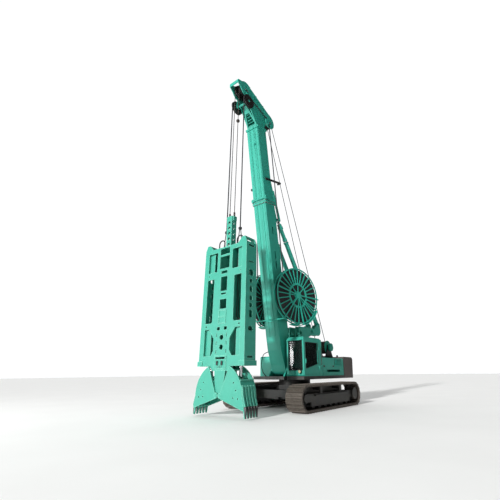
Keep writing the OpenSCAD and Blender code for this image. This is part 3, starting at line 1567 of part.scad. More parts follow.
module grab_frame() {
    post_plate = grab_plate*0.6;
    pin_length = bracket_plate/2 + side_gap + jaw_plate;
    color("mediumseagreen") at_grab() {
        for (face = [-1, 1]) {
            plate_yz(grab_plate, face*grab_face) face_outline();
            plate_yz(2*shield_plate, face*grab_thick/2) shield_outline();
            plate_yz(2*shield_plate, face*grab_thick/2) relief_outline();
        }
        for (side = [-1, 1]) {
            plate_xz(grab_plate, side*(grab_width/2 - grab_plate/2)) side_outline(hang_base);
            plate_xz(post_plate, side*(post_inner + post_plate/2)) intersection() {
                side_outline(hang_base);
                translate([-grab_face, grab_bottom]) square([2*grab_face, grab_height]);
            }
            plate_xz(grab_plate, side*(rail_outer - grab_plate/2)) {
                translate([-grab_face, grab_bottom]) square([2*grab_face, hang_base - grab_bottom]);
            }
            pin_x(ram_pin_r, 2*grab_face, 0, side*jaw_ram_y, ram_pin_z);
            skirt_y = grab_width/2 - post_width/2;
            translate([0, side*(skirt_y + skirt/2), grab_bottom + skirt_height/2]) {
                cube([grab_thick + 2*skirt, post_width + skirt, skirt_height], center = true);
            }
            rib_y = (rail_outer + post_inner)/2;
            translate([0, side*rib_y, grab_z(rib_shares[1])]) {
                cube([2*grab_face, post_inner - rail_outer + post_plate, grab_plate], center = true);
            }
            ear_y = grab_width/4*(ear_shares[0] + ear_shares[1]);
            translate([0, side*ear_y, grab_top - grab_plate/2]) {
                cube([2*grab_face, grab_width/2*(ear_shares[0] - ear_shares[1]), grab_plate], center = true);
            }
            for (bay = [bay_table_shares[0], bay_table_shares[2]], face = [-1, 1]) {
                width = (post_inner - rail_outer)*panel_share;
                translate([face*(grab_face - panel_depth), side*(post_inner - width/2),
                    (grab_z(bay[0]) + grab_z(bay[1]))/2]) {
                    cube([post_plate, width + post_plate, grab_height*(bay[1] - bay[0])], center = true);
                }
            }
        }
        box(-grab_face, grab_face, -grab_width/2 + grab_plate, grab_width/2 - grab_plate,
            hang_base - grab_plate, hang_base);
        box(-grab_face, grab_face, -rail_outer, rail_outer, foot_block_low, foot_block_low + grab_plate);
        for (face = [-1, 1]) {
            plate_yz(bracket_plate, face*bracket_x) bracket_outline();
            for (side = [-1, 1]) {
                pin_x(jaw_pin_r, pin_length, face*(bracket_x + pin_length/2), side*jaw_pin_y, jaw_pin_z);
            }
        }
    }
}

module suspension_column() {
    yoke_half = rope_y + 4*rope_r;
    color("mediumseagreen") at_grab() difference() {
        union() {
            box(-hanger_thick/2, hanger_thick/2, -hanger_width/2, hanger_width/2, hang_base + seat_gap,
                hang_base + hanger_length);
            box(-hanger_thick/3, hanger_thick/3, -yoke_half, yoke_half, hang_base + hanger_length - yoke_half,
                hang_base + hanger_length);
        }
        for (i = [0 : hanger_holes - 1]) {
            z = hang_base + hanger_length*(i + 0.6)/(hanger_holes + 0.8);
            pin_x(hanger_width/4, hanger_thick + overrun, 0, 0, z);
            pin_y(hanger_width/4, hanger_width + overrun, 0, 0, z);
        }
    }
}

module front_ropes() {
    rope_base = hang_base + hanger_length;
    rope_run = front_axle_z - rope_base - seat_gap;
    color("dimgray") at_grab() {
        for (side = [-1, 1]) translate([0, side*rope_y, rope_base]) {
            cylinder(r = rope_r, h = rope_run);
            cylinder(r = 2.5*rope_r, h = 12*rope_r);
        }
        translate([0, rope_y, rope_base + rope_run*ball_share]) sphere(r = ball_r);
    }
}

module front_hoses() {
    split_z = hang_base + hanger_length*0.6;
    color("dimgray") at_grab() for (side = [-1, 1]) {
        translate([-hose_back, side*hose_y, split_z]) cylinder(r = hose_r, h = hose_axle_z - split_z);
        box(-hose_back - 2*hose_r, -hose_back + 2*hose_r, side*hose_y - 2*hose_r, side*hose_y + 2*hose_r,
            split_z - 2*hose_r, split_z + 2*hose_r);
        for (leg = [-1, 1]) {
            tube_between([-hose_back, side*hose_y + leg*hose_r, split_z],
                [-hose_back, side*hose_y + leg*hanger_width/2, hang_base + hose_r], hose_r*0.7);
            translate([-hose_back, side*hose_y + leg*hanger_width/2,
                hang_base + seat_gap]) cylinder(r = 1.5*hose_r, h = 3*hose_r);
            translate([0, side*rail_outer*2*loop_share + leg*loop_r,
                hang_base + seat_gap]) cylinder(r = hose_r, h = 2*loop_r);
        }
        translate([0, side*rail_outer*2*loop_share, hang_base + 2*loop_r + 2*seat_gap]) rotate([90, 0, 90]) {
            rotate_extrude(angle = 180) translate([loop_r, 0]) circle(r = hose_r);
        }
    }
}

// Jaws

module open_jaw(side) {
    at_grab() translate([0, side*jaw_pin_y, jaw_pin_z]) rotate((1 - side)*90) rotate([jaw_open, 0,
        0]) children();
}

module jaw_side_outline() {
    intersection() {
        circle(r = jaw_r, $fn = jaw_facets);
        polygon([[-mouth, 0], [-mouth, -jaw_r], [jaw_r, -jaw_r], [jaw_r, -jaw_r*tan(jaw_top_turn)], [0, 0]]);
    }
    polygon([[-mouth, -jaw_r*0.8], [-mouth, -lip_reach], [-mouth + lip_width, -lip_reach],
        [jaw_r*0.28, -jaw_r*0.955], [jaw_r*0.28, -jaw_r*0.8]]);
    circle(r = jaw_hub_r);
}
jaw_eye = [ram_eye_reach*cos(ram_eye_turn - jaw_open), ram_eye_reach*sin(ram_eye_turn - jaw_open)];

module jaw_back_outline() {
    intersection() {
        difference() {
            circle(r = jaw_r, $fn = jaw_facets);
            circle(r = jaw_r - jaw_plate, $fn = jaw_facets);
        }
        polygon([[-mouth, 0], [-mouth, -jaw_r], [jaw_r, -jaw_r], [jaw_r, -jaw_r*tan(jaw_back_turn)], [0, 0]]);
    }
    polygon([[-mouth, -lip_reach + lip_width], [-mouth, -lip_reach], [-mouth + lip_width, -lip_reach],
        [jaw_r*0.28, -jaw_r*0.955], [jaw_r*0.24, -jaw_r*0.92]]);
}

module tooth_outline() {
    polygon([for (p = tooth_shares) [-mouth + tooth_base*p[0], -lip_reach + tooth_base*p[1]]]);
    polygon(jaw_r*shank_shares);
}

module jaw(side) {
    color("teal") open_jaw(side) {
        for (face = [-1, 1]) plate_yz(jaw_plate, face*jaw_side_x) difference() {
            jaw_side_outline();
            circle(r = jaw_pin_r + pin_gap);
            for (hole = jaw_holes) rotate(hole[1]) translate([jaw_r*hole[0], 0]) circle(r = jaw_hole_r);
        }
        plate_yz(jaw_width - jaw_plate) jaw_back_outline();
        plate_yz(jaw_width - jaw_plate) rotate(-jaw_back_turn) translate([jaw_r - back_rib,
            -back_rib]) square([2*back_rib, back_rib]);
        for (i = [0 : tooth_count - 1]) {
            plate_yz(tooth_width, (i - (tooth_count - 1)/2)*tooth_pitch + tooth_pitch/4) tooth_outline();
        }
        translate([0, jaw_eye[0], jaw_eye[1]]) {
            for (face = [-1, 1]) pin_x(ram_eye_r, ram_spacer,
                face*(ram_eye_width/2 + seat_gap + ram_spacer/2));
        }
    }
}

module at_ram(side) {
    at_grab() translate([0, side*jaw_ram_y, ram_pin_z]) rotate((1 - side)*90) rotate([ram_turn, 0,
        0]) children();
}

module jaw_ram(side) {
    color("mediumseagreen") at_ram(side) difference() {
        union() {
            pin_x(jaw_ram_r, ram_eye_width);
            translate([-ram_eye_width/2, -ram_eye_r, -ram_neck]) cube([ram_eye_width, 2*ram_eye_r, ram_neck]);
            translate([0, 0, -ram_barrel_length]) cylinder(r = jaw_ram_r,
                h = ram_barrel_length - ram_neck + overrun);
        }
        pin_x(ram_pin_r + pin_gap, 2*jaw_ram_r + overrun);
        translate([0, 0, -ram_barrel_length - overrun]) {
            cylinder(r = jaw_rod_r + pin_gap, h = ram_barrel_length*ram_rod_in_share + 2*overrun);
        }
    }
}

module jaw_rod(side) {
    rod_length = ram_run - ram_barrel_length + ram_barrel_length*ram_rod_in_share;
    color("silver") at_ram(side) translate([0, 0, -ram_run]) {
        pin_x(ram_eye_r, ram_eye_width);
        cylinder(r = jaw_rod_r, h = rod_length);
    }
}

car_body();
slewing_ring();
track_frame(1);  // track_frame_left
track_frame(-1);  // track_frame_right
track(1);  // track_left
track(-1);  // track_right
drive_sprockets();
idlers();
track_rollers();
turntable();
foot_brackets();
counterweight();
cab_shell();
cab_glass();
cab_seat();
cab_door();
door_glass();
hood_left();
hood_right();
engine_block();
winch_stand();
winch_drum(1);  // winch_drum_left
winch_drum(-1);  // winch_drum_right
gantry();
exhaust_stack();
lower_boom();
upper_mast();
mast_head();
head_ropes();
front_sheaves();
rear_sheaves();
hose_wheels();
rope_guide();
reel_carrier();
hose_reel(1);  // hose_reel_left
hose_reel(-1);  // hose_reel_right
hose_coil(1);  // hose_coil_left
hose_coil(-1);  // hose_coil_right
luff_barrels();
luff_rods();
back_ropes();
feed_hoses();
grab_frame();
suspension_column();
front_ropes();
front_hoses();
jaw_ram(1);  // jaw_ram_left
jaw_ram(-1);  // jaw_ram_right
jaw_rod(1);  // jaw_rod_left
jaw_rod(-1);  // jaw_rod_right
jaw(1);  // jaw_left
jaw(-1);  // jaw_right
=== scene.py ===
# %% [markdown]
# A diaphragm wall grab digs deep, narrow trenches. A crawler carries a leaning mast, two spoked hose
# reels feed oil over the mast's head, and a tall steel frame with two jaws hangs on wire ropes in front.
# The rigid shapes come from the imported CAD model, and this lesson dresses them: paint, worn steel, glass,
# rubber, and the small pieces on top.

# %% Load the frame
import json
import math

import bpy
from mathutils import Matrix, Vector


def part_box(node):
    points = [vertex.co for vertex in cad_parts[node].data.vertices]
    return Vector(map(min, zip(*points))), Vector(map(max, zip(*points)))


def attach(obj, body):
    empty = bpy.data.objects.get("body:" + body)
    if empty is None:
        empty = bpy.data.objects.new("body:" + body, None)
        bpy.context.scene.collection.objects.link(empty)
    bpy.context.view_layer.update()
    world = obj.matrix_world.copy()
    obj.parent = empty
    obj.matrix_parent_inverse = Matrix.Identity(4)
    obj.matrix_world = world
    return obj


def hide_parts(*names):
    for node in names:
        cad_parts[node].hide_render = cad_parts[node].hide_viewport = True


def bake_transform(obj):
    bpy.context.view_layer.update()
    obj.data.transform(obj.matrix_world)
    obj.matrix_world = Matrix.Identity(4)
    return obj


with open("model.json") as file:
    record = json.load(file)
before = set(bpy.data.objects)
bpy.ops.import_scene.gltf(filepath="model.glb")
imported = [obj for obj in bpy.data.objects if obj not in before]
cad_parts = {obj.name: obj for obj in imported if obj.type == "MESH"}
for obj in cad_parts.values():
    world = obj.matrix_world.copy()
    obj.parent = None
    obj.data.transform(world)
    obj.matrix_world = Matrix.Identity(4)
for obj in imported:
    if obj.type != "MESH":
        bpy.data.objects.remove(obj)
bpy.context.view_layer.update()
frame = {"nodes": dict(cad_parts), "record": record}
nodes = frame["nodes"]

# %% [markdown]
# Colours are written as the sRGB hex values that a screen shows. Blender mixes light in linear values, so
# one function turns a hex value into linear numbers. Another small function adds a shader node, sets its
# inputs and links it. An input is named by its label, or by i and its number where labels repeat.


# %% Colour and node helpers
def linear(hex_colour):
    parts = [int(hex_colour[i:i + 2], 16) / 255 for i in (1, 3, 5)]
    return tuple(p / 12.92 if p <= 0.04045 else ((p + 0.055) / 1.055) ** 2.4 for p in parts) + (1.0,)


def add_node(tree, kind, settings=None, **inputs):
    node = tree.nodes.new(kind)
    for name, value in (settings or {}).items():
        setattr(node, name, value)
    for name, value in inputs.items():
        key = int(name[1:]) if name[0] == "i" and name[1:].isdigit() else name.replace("_", " ")
        socket = node.inputs[key]
        if isinstance(value, bpy.types.NodeSocket):
            tree.links.new(value, socket)
        else:
            socket.default_value = value
    return node


def new_material(name):
    material = bpy.data.materials.new(name)
    material.use_nodes = True
    tree = material.node_tree
    shader = tree.nodes["Principled BSDF"]
    place = add_node(tree, "ShaderNodeTexCoord").outputs["Object"]
    return material, tree, shader, place


print("colour and node helpers ready")

# %% [markdown]
# The machine is sprayed with a two-coat enamel. It is even from afar, but close up it has a slight orange
# peel, faded patches, rain streaks that run straight down, and site dust. Each of these is a noise
# texture of its own size. A noise at scale 1 has grains of about a metre, so its scale comes from the
# grain's size in millimetres.

# %% Grain sizes of the enamel
dust_mm, fade_mm, scrape_highlight_mm, peel_mm = 1111, 222, 91, 17
streak_wide_mm, streak_long_mm = 143, 2000
# Pale mint on the grab's edges: worn paint and a painted highlight.
worn_paint_and_edge_highlight = "#8fd9c2"


def noise_scale(grain_mm):
    return 1000 / grain_mm


print("dust noise at scale", round(noise_scale(dust_mm), 2))

# %% [markdown]
# Stones scrape the paint off the grab's edges, and the pale mint that shows there is also a painted
# highlight, the light catching each edge. A mask could be painted by hand, but it would not follow a
# changed shape. A Bevel node bends the normal near an edge, and where it differs from the true normal, a
# noise decides how much of the worn, pale paint and painted highlight shows.


# %% Scraped edges with a painted highlight
def scraped_and_highlit_edges(tree, place, colour, edge):
    rounded = add_node(tree, "ShaderNodeBevel", {"samples": 4}, Radius=edge)
    flat = add_node(tree, "ShaderNodeNewGeometry")
    turn = add_node(tree, "ShaderNodeVectorMath", {"operation": "DOT_PRODUCT"}, i0=rounded.outputs[0],
                    i1=flat.outputs["Normal"])
    near_edge = add_node(tree, "ShaderNodeMapRange", Value=turn.outputs["Value"], From_Min=0.995,
                         From_Max=0.90, To_Min=0.0, To_Max=1.6)
    scrape_highlight_noise = add_node(tree, "ShaderNodeTexNoise", Vector=place, Scale=noise_scale(scrape_highlight_mm), Detail=6.0,
                      Roughness=0.7)
    worn_highlight_mask = add_node(tree, "ShaderNodeMath", {"operation": "MULTIPLY", "use_clamp": True},
                    i0=near_edge.outputs[0], i1=scrape_highlight_noise.outputs["Fac"])
    # Painted highlight: the edge mask mixes in pale mint, partly worn paint.
    worn_highlit = add_node(tree, "ShaderNodeMix", {"data_type": "RGBA"}, Factor=worn_highlight_mask.outputs[0], i6=colour,
                       i7=linear(worn_paint_and_edge_highlight))
    return worn_highlit.outputs[2]


print("scraped and highlit edges ready")

# %% [markdown]
# One function sprays any of the four coats. The streaks are a noise that is stretched along Z, and the
# dust is a broad noise. The peel only bends the light; it is a few millimetres wide, and is drawn coarser
# so that it shows. The soil is thickest near the ground, so the dust's strength also follows the height
# of the point.


# %% Sprayed enamel
def enamel(name, base, faded, dust, rough=0.54, dust_most=0.35, soil_top=2.5, worn_and_highlit_edge=0.0):
    material, tree, shader, place = new_material(name)
    broad = add_node(tree, "ShaderNodeTexNoise", Vector=place, Scale=noise_scale(dust_mm), Detail=6.0,
                     Roughness=0.6)
    blotch = add_node(tree, "ShaderNodeTexNoise", Vector=place, Scale=noise_scale(fade_mm), Detail=4.0,
                      Roughness=0.55)
    fade = add_node(tree, "ShaderNodeMapRange", Value=blotch.outputs["Fac"], From_Min=0.35, From_Max=0.75,
                    To_Min=0.0, To_Max=0.6)
    paint = add_node(tree, "ShaderNodeMix", {"data_type": "RGBA"}, Factor=fade.outputs[0], i6=linear(base),
                     i7=linear(faded))
    across, along = noise_scale(streak_wide_mm), noise_scale(streak_long_mm)
    stretched = add_node(tree, "ShaderNodeMapping", Vector=place, Scale=(across, across, along))
    streak = add_node(tree, "ShaderNodeTexNoise", Vector=stretched.outputs[0], Scale=1.0, Detail=5.0,
                      Roughness=0.6)
    height = add_node(tree, "ShaderNodeSeparateXYZ", Vector=place)
    low = add_node(tree, "ShaderNodeMapRange", Value=height.outputs["Z"], From_Min=0.2, From_Max=soil_top,
                   To_Min=0.22, To_Max=0.0)
    soil = add_node(tree, "ShaderNodeMath", {"operation": "ADD"}, i0=broad.outputs["Fac"],
                    i1=low.outputs[0])
    dirt = add_node(tree, "ShaderNodeMath", {"operation": "MULTIPLY_ADD"}, i0=streak.outputs["Fac"],
                    i1=0.35, i2=soil.outputs[0])
    cover = add_node(tree, "ShaderNodeMapRange", Value=dirt.outputs[0], From_Min=0.66, From_Max=1.05,
                     To_Min=0.0, To_Max=dust_most)
    soiled = add_node(tree, "ShaderNodeMix", {"data_type": "RGBA"}, Factor=cover.outputs[0],
                      i6=paint.outputs[2], i7=linear(dust))
    colour = soiled.outputs[2]
    if worn_and_highlit_edge:
        colour = scraped_and_highlit_edges(tree, place, colour, worn_and_highlit_edge)
    gloss = add_node(tree, "ShaderNodeMapRange", Value=dirt.outputs[0], From_Min=0.5, From_Max=1.0,
                     To_Min=rough, To_Max=rough + 0.1)
    peel = add_node(tree, "ShaderNodeTexNoise", Vector=place, Scale=noise_scale(peel_mm), Detail=2.0)
    bump = add_node(tree, "ShaderNodeBump", Height=peel.outputs["Fac"], Strength=0.06, Distance=0.004)
    tree.links.new(colour, shader.inputs["Base Color"])
    tree.links.new(gloss.outputs[0], shader.inputs["Roughness"])
    tree.links.new(bump.outputs["Normal"], shader.inputs["Normal"])
    shader.inputs["Specular IOR Level"].default_value = 0.8
    return material


# Teal top coat: even, half gloss, hardly any dust.
teal_enamel = enamel("teal_enamel", "#109b86", "#18a590", "#6f9488", dust_most=0.05)
# The same coat on the grab, dusty up to 4 m, and worn pale along the edges, the pale edge also a painted
# highlight.
grab_enamel = enamel("grab_enamel_scraped_highlit_edges", "#14907a", "#1e9a84", "#7f9c8a", dust_most=0.10, soil_top=4.0,
                     worn_and_highlit_edge=0.02)
# Black chassis coat, dull with road dirt.
black_enamel = enamel("black_chassis_enamel", "#15191a", "#1e2324", "#5d564c", rough=0.5, dust_most=0.4)
# Dark brown coat on the cast counterweight.
weight_enamel = enamel("counterweight_enamel", "#3a3330", "#453c38", "#7a7064", rough=0.5, dust_most=0.25)
print("enamels:", teal_enamel.name, grab_enamel.name, black_enamel.name, weight_enamel.name)

# %% [markdown]
# Track shoes are cast steel, ground bright on the soil and brown in the corners. Cylinder rods are hard
# chrome, hose is black rubber and the seat is a woven cloth. Each could have its own shader, but one
# noise at the size of the grit, which gives tone, gloss and bump together, serves them all. Real grit is
# finer than a pixel, so it is drawn coarser.


# %% Steel, rubber, chrome and cloth
def gritty(name, light, dark, metallic, rough, grit_mm):
    material, tree, shader, place = new_material(name)
    grit = add_node(tree, "ShaderNodeTexNoise", Vector=place, Scale=noise_scale(grit_mm), Detail=8.0,
                    Roughness=0.65)
    tone = add_node(tree, "ShaderNodeMix", {"data_type": "RGBA"}, Factor=grit.outputs["Fac"],
                    i6=linear(dark), i7=linear(light))
    gloss = add_node(tree, "ShaderNodeMapRange", Value=grit.outputs["Fac"], From_Min=0.3, From_Max=0.7,
                     To_Min=rough + 0.12, To_Max=rough)
    bump = add_node(tree, "ShaderNodeBump", Height=grit.outputs["Fac"], Strength=0.2, Distance=0.01)
    tree.links.new(tone.outputs[2], shader.inputs["Base Color"])
    tree.links.new(gloss.outputs[0], shader.inputs["Roughness"])
    tree.links.new(bump.outputs["Normal"], shader.inputs["Normal"])
    shader.inputs["Metallic"].default_value = metallic
    return material


# Cast and soil-ground: brown grey, half dull.
track_steel = gritty("worn_track_steel", "#6f665d", "#2f2925", metallic=0.35, rough=0.52, grit_mm=111)
# Machined and oiled: nearly black, with a soft sheen.
oiled_steel = gritty("oiled_steel", "#4b4a49", "#1d1b1a", metallic=0.6, rough=0.42, grit_mm=71)
# Ground bright by stones.
tooth_steel = gritty("ground_tooth_steel", "#6f706e", "#26282a", metallic=0.75, rough=0.40, grit_mm=56)
# Moulded rubber: black and dull.
hose_rubber = gritty("hose_rubber", "#26272a", "#131416", metallic=0.0, rough=0.55, grit_mm=33)
# Plated and polished: a mirror.
rod_chrome = gritty("hard_chrome", "#d8dadc", "#c3c6c9", metallic=1.0, rough=0.14, grit_mm=40)
# Woven: dark grey, with no gloss.
seat_cloth = gritty("seat_cloth", "#3a3b3f", "#222327", metallic=0.0, rough=0.85, grit_mm=11)
# Plated bolts: pale grey and satin.
zinc_plate = gritty("zinc_plated_bolts", "#a9aaa6", "#7a7b79", metallic=0.85, rough=0.38, grit_mm=25)
print("metals, rubber and cloth ready")

# %% [markdown]
# A wire rope is laid from strands that wind round its core, so light catches it in slanted dashes, about 40
# mm apart. A helix in the mesh would cost thousands of faces, so a band wave across the sum of X, Y and Z
# draws the strands, four times as coarse, so that they show in a picture of the whole machine. The wave's
# pale bands are a painted highlight, the light catching each strand. A diagonal wave makes ten radians a
# unit.

# %% Wire rope
strand_m, diagonal_radians = 0.157, 10
wire_rope, tree, shader, place = new_material("greased_wire_rope")
slant = add_node(tree, "ShaderNodeTexWave", {"bands_direction": "DIAGONAL"}, Vector=place,
                 Scale=2 * math.pi / diagonal_radians / strand_m, Distortion=0.6, Detail=2.0)
# Painted highlight: the pale bands stand for light catching the strands.
strand_highlight_mix = add_node(tree, "ShaderNodeMix", {"data_type": "RGBA"}, Factor=slant.outputs["Fac"],
                  i6=linear("#2a2623"), i7=linear("#4a443f"))
bump = add_node(tree, "ShaderNodeBump", Height=slant.outputs["Fac"], Strength=0.4, Distance=0.006)
tree.links.new(strand_highlight_mix.outputs[2], shader.inputs["Base Color"])
tree.links.new(bump.outputs["Normal"], shader.inputs["Normal"])
shader.inputs["Metallic"].default_value = 0.3
shader.inputs["Roughness"].default_value = 0.55
print("strands every", strand_m, "m")

# %% [markdown]
# Cab glass has a thin green-grey tint, and a film of dust that dulls it in patches. It could be a dark
# mirror, but then the seat would not show, so it lets light through. A lamp's lens is pressed with
# upright flutes every 10 mm or so, a band wave along Y, which makes twenty radians a unit.

# %% Cab glass and lamp lens
film_mm, flute_m, straight_radians = 455, 0.0105, 20
cab_pane, tree, shader, place = new_material("tinted_cab_glass")
film = add_node(tree, "ShaderNodeTexNoise", Vector=place, Scale=noise_scale(film_mm), Detail=5.0)
haze = add_node(tree, "ShaderNodeMapRange", Value=film.outputs["Fac"], From_Min=0.4, From_Max=0.8,
                To_Min=0.02, To_Max=0.14)
tree.links.new(haze.outputs[0], shader.inputs["Roughness"])
shader.inputs["Base Color"].default_value = linear("#55625f")
shader.inputs["Transmission Weight"].default_value = 0.9
shader.inputs["IOR"].default_value = 1.45

lamp_lens, tree, shader, place = new_material("fluted_lamp_lens")
flute = add_node(tree, "ShaderNodeTexWave", {"bands_direction": "Y"}, Vector=place,
                 Scale=2 * math.pi / straight_radians / flute_m)
bump = add_node(tree, "ShaderNodeBump", Height=flute.outputs["Fac"], Strength=0.5, Distance=0.003)
tree.links.new(bump.outputs["Normal"], shader.inputs["Normal"])
shader.inputs["Base Color"].default_value = linear("#b4b08c")
shader.inputs["Roughness"].default_value = 0.12
shader.inputs["Coat Weight"].default_value = 0.6
print("glass and lens ready")

# %% [markdown]
# Each CAD node takes the finish of its material slot in the imported record. The grab's own pieces have the
# same slot as the rest of the paint, so they are named here to get the enamel with scraped edges and a
# painted edge highlight.

# %% Paint the CAD nodes
finish_of_slot = {"paint": teal_enamel, "chassis": black_enamel, "track_steel": track_steel,
                  "dark_steel": oiled_steel, "weight_paint": weight_enamel, "glass": cab_pane,
                  "seat": seat_cloth, "rope": wire_rope, "hose": hose_rubber, "chrome": rod_chrome}
scraped_highlit_nodes = {"grab_frame", "suspension_column", "jaw_left", "jaw_right", "jaw_ram_left",
                 "jaw_ram_right"}
for entry in frame["record"]["subparts"]:
    mesh = nodes[entry["node"]].data
    mesh.materials.clear()
    worn_highlit = entry["node"] in scraped_highlit_nodes
    mesh.materials.append(grab_enamel if worn_highlit else finish_of_slot[entry["material_slot"]])

# %% [markdown]
# The picture was taken from eye height, in front and to the cab's side, looking up. The camera's place
# and turn were solved from the tracks, the mast and the grab, and its lens from the same points, in
# pixels of a frame 500 wide. The slewing axis stands a little behind the middle of the machine, and
# places on the machine are measured from it.

# %% Camera
slew_x = -0.7495


def at(x, y, z):
    return Vector((x + slew_x, y, z))


frame_px, focal_px, shift_px = 500, 331.36, (-24, -8)
yaw, pitch, roll = math.radians(36.62), math.radians(21.49), math.radians(-0.57)
ahead = Vector((-math.cos(yaw) * math.cos(pitch), -math.sin(yaw) * math.cos(pitch), math.sin(pitch)))
right = Vector((-math.sin(yaw), math.cos(yaw), 0.0))
up = right.cross(ahead)
across = math.cos(roll) * right + math.sin(roll) * up
upward = -math.sin(roll) * right + math.cos(roll) * up
camera_data = bpy.data.cameras.new("photo_camera")
camera_data.sensor_width = 36.0
camera_data.lens = focal_px / frame_px * camera_data.sensor_width
camera_data.shift_x, camera_data.shift_y = (px / frame_px for px in shift_px)
camera = bpy.data.objects.new("photo_camera", camera_data)
facing = Matrix((across, upward, -ahead)).transposed().to_4x4()
camera.matrix_world = Matrix.Translation(at(15.029, 9.973, 1.56)) @ facing
bpy.context.scene.collection.objects.link(camera)
bpy.context.scene.camera = camera
print("camera at", [round(v, 2) for v in camera.location], "lens", round(camera_data.lens, 2))

# %% [markdown]
# Small pieces are modelled once, as by hand: a primitive is added, its faces are picked by place or
# normal in code, and edit-mode tools shape it. Everything is deselected first, because an operator acts
# on all that is selected.


# %% Modelling helpers
def begin():
    bpy.ops.object.select_all(action="DESELECT")


def block(size, place=(0, 0, 0)):
    begin()
    bpy.ops.mesh.primitive_cube_add(size=1.0, location=place, scale=size)
    bpy.ops.object.transform_apply(location=True, scale=True)
    return bpy.context.object


def round_bar(radius, depth, sides, place=(0, 0, 0)):
    begin()
    bpy.ops.mesh.primitive_cylinder_add(vertices=sides, radius=radius, depth=depth, location=place)
    bpy.ops.object.transform_apply(location=True)
    return bpy.context.object


def pick_faces(piece, rule):
    bpy.ops.object.mode_set(mode="EDIT")
    bpy.ops.mesh.select_mode(type="FACE")
    bpy.ops.mesh.select_all(action="DESELECT")
    bpy.ops.object.mode_set(mode="OBJECT")
    for face in piece.data.polygons:
        face.select = rule(face.center, face.normal)
    bpy.ops.object.mode_set(mode="EDIT")


def pick_top(piece):
    pick_faces(piece, lambda centre, normal: normal.z > 0.9)


def pick_bottom(piece):
    pick_faces(piece, lambda centre, normal: normal.z < -0.9)


def inset_and_move(rim, move):
    bpy.ops.mesh.inset(thickness=rim)
    bpy.ops.transform.translate(value=move)


def draw_out(move, grow=1.0):
    bpy.ops.mesh.extrude_region_move(TRANSFORM_OT_translate={"value": move})
    bpy.ops.transform.resize(value=(grow, grow, 1.0), center_override=(0, 0, 0))


def soften(piece, width):
    bpy.ops.object.mode_set(mode="OBJECT")
    bevel = piece.modifiers.new("soft_edges", "BEVEL")
    bevel.width = width
    bevel.segments = 2
    bevel.limit_method = "ANGLE"
    bpy.ops.object.modifier_apply(modifier=bevel.name)


print("modelling helpers ready")

# %% [markdown]
# A finished piece sits at the origin with its place in its mesh, takes its finish and slot, and rides on
# a CAD body. What repeats is modelled once and copied, each copy with its own mesh, and the copies are
# joined as one piece.


# %% Finishing helpers
def settle(piece, name, body, material, smooth=35):
    bpy.ops.object.mode_set(mode="OBJECT")
    begin()
    piece.select_set(True)
    bpy.context.view_layer.objects.active = piece
    bpy.ops.object.transform_apply(location=True, rotation=True, scale=True)
    bpy.ops.object.shade_smooth_by_angle(angle=math.radians(smooth))
    piece.name = name
    piece.data.name = name
    piece.data.materials.clear()
    piece.data.materials.append(material)
    if body:
        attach(piece, body)
    return piece


def copy_to(source, places, name, body, material):
    bpy.ops.object.mode_set(mode="OBJECT")
    made = []
    for place in places:
        piece = bpy.data.objects.new(name, source.data.copy())
        piece.data.transform(place)
        bpy.context.scene.collection.objects.link(piece)
        made.append(piece)
    begin()
    for piece in made:
        piece.select_set(True)
    bpy.context.view_layer.objects.active = made[0]
    if len(made) > 1:
        bpy.ops.object.join()
    return settle(made[0], name, body, material)


def discard(piece):
    bpy.data.objects.remove(piece, do_unlink=True)


def corners(node):
    low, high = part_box(node)
    return Vector(low), Vector(high)


def middle(node):
    low, high = corners(node)
    return (low + high) / 2


quarter_turn = math.pi / 2
shift = Matrix.Translation
print("finishing helpers ready")

# %% [markdown]
# The hose lies on each reel in a flat spiral, one turn on the next, so from the side it shows as rings
# between the spokes. A real spiral would need thousands of faces; closed rings look the same. Small
# circles are placed along a radius in edit mode, one for each turn, and one spin makes all the rings at
# once. The two layers inside show only their outer turns.


# %% Hose turns on the reels
def spun_rings(spots, radius, sides, steps, hub):
    begin()
    bpy.ops.mesh.primitive_circle_add(vertices=sides, radius=radius, location=spots[0])
    rings = bpy.context.object
    bpy.ops.object.transform_apply(location=True)
    bpy.ops.object.mode_set(mode="EDIT")
    for spot in spots[1:]:
        bpy.ops.mesh.select_all(action="DESELECT")
        bpy.ops.mesh.primitive_circle_add(vertices=sides, radius=radius, location=spot)
    bpy.ops.mesh.select_all(action="SELECT")
    bpy.ops.mesh.spin(steps=steps, angle=2 * math.pi, center=hub, axis=(0, 1, 0))
    bpy.ops.mesh.select_all(action="SELECT")
    bpy.ops.mesh.remove_doubles(threshold=0.0005)
    bpy.ops.mesh.normals_make_consistent(inside=False)
    bpy.ops.object.mode_set(mode="OBJECT")
    return rings


hose_d, hub_r, inner_turns = 0.052, 0.21, 2
outer_layer, inner_layer = 0.0741, 0.0247
reel_toe = math.radians(12)
for side, label in ((1, "left"), (-1, "right")):
    low, high = corners(f"hose_coil_{label}")
    coil_r = (high.z - low.z) / 2
    turns = int((coil_r - hub_r) / hose_d)
    layers = ((outer_layer, turns), (inner_layer, inner_turns), (-inner_layer, inner_turns),
              (-outer_layer, turns))
    spots = [(coil_r - hose_d * (i + 0.5), layer, 0) for layer, count in layers for i in range(count)]
    rings = spun_rings(spots, hose_d / 2, sides=8, steps=56, hub=(0, 0, 0))
    rings.data.transform(shift(middle(f"hose_reel_{label}")) @ Matrix.Rotation(-side * reel_toe, 4, "Z"))
    settle(rings, f"hose_turns_{label}", f"reel_{label}", hose_rubber, smooth=60)
    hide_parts(f"hose_coil_{label}")
    print("hose turns", label, turns, "per face,", len(rings.data.polygons), "faces")

# %% [markdown]
# The hoisting rope lies on the winch drums in tight turns. As on the reels, one circle for each turn is
# placed along the drum and spun round the drum's axis, a little sunk into its groove. A true helix would
# rise by one rope in a turn, which does not show from the ground.

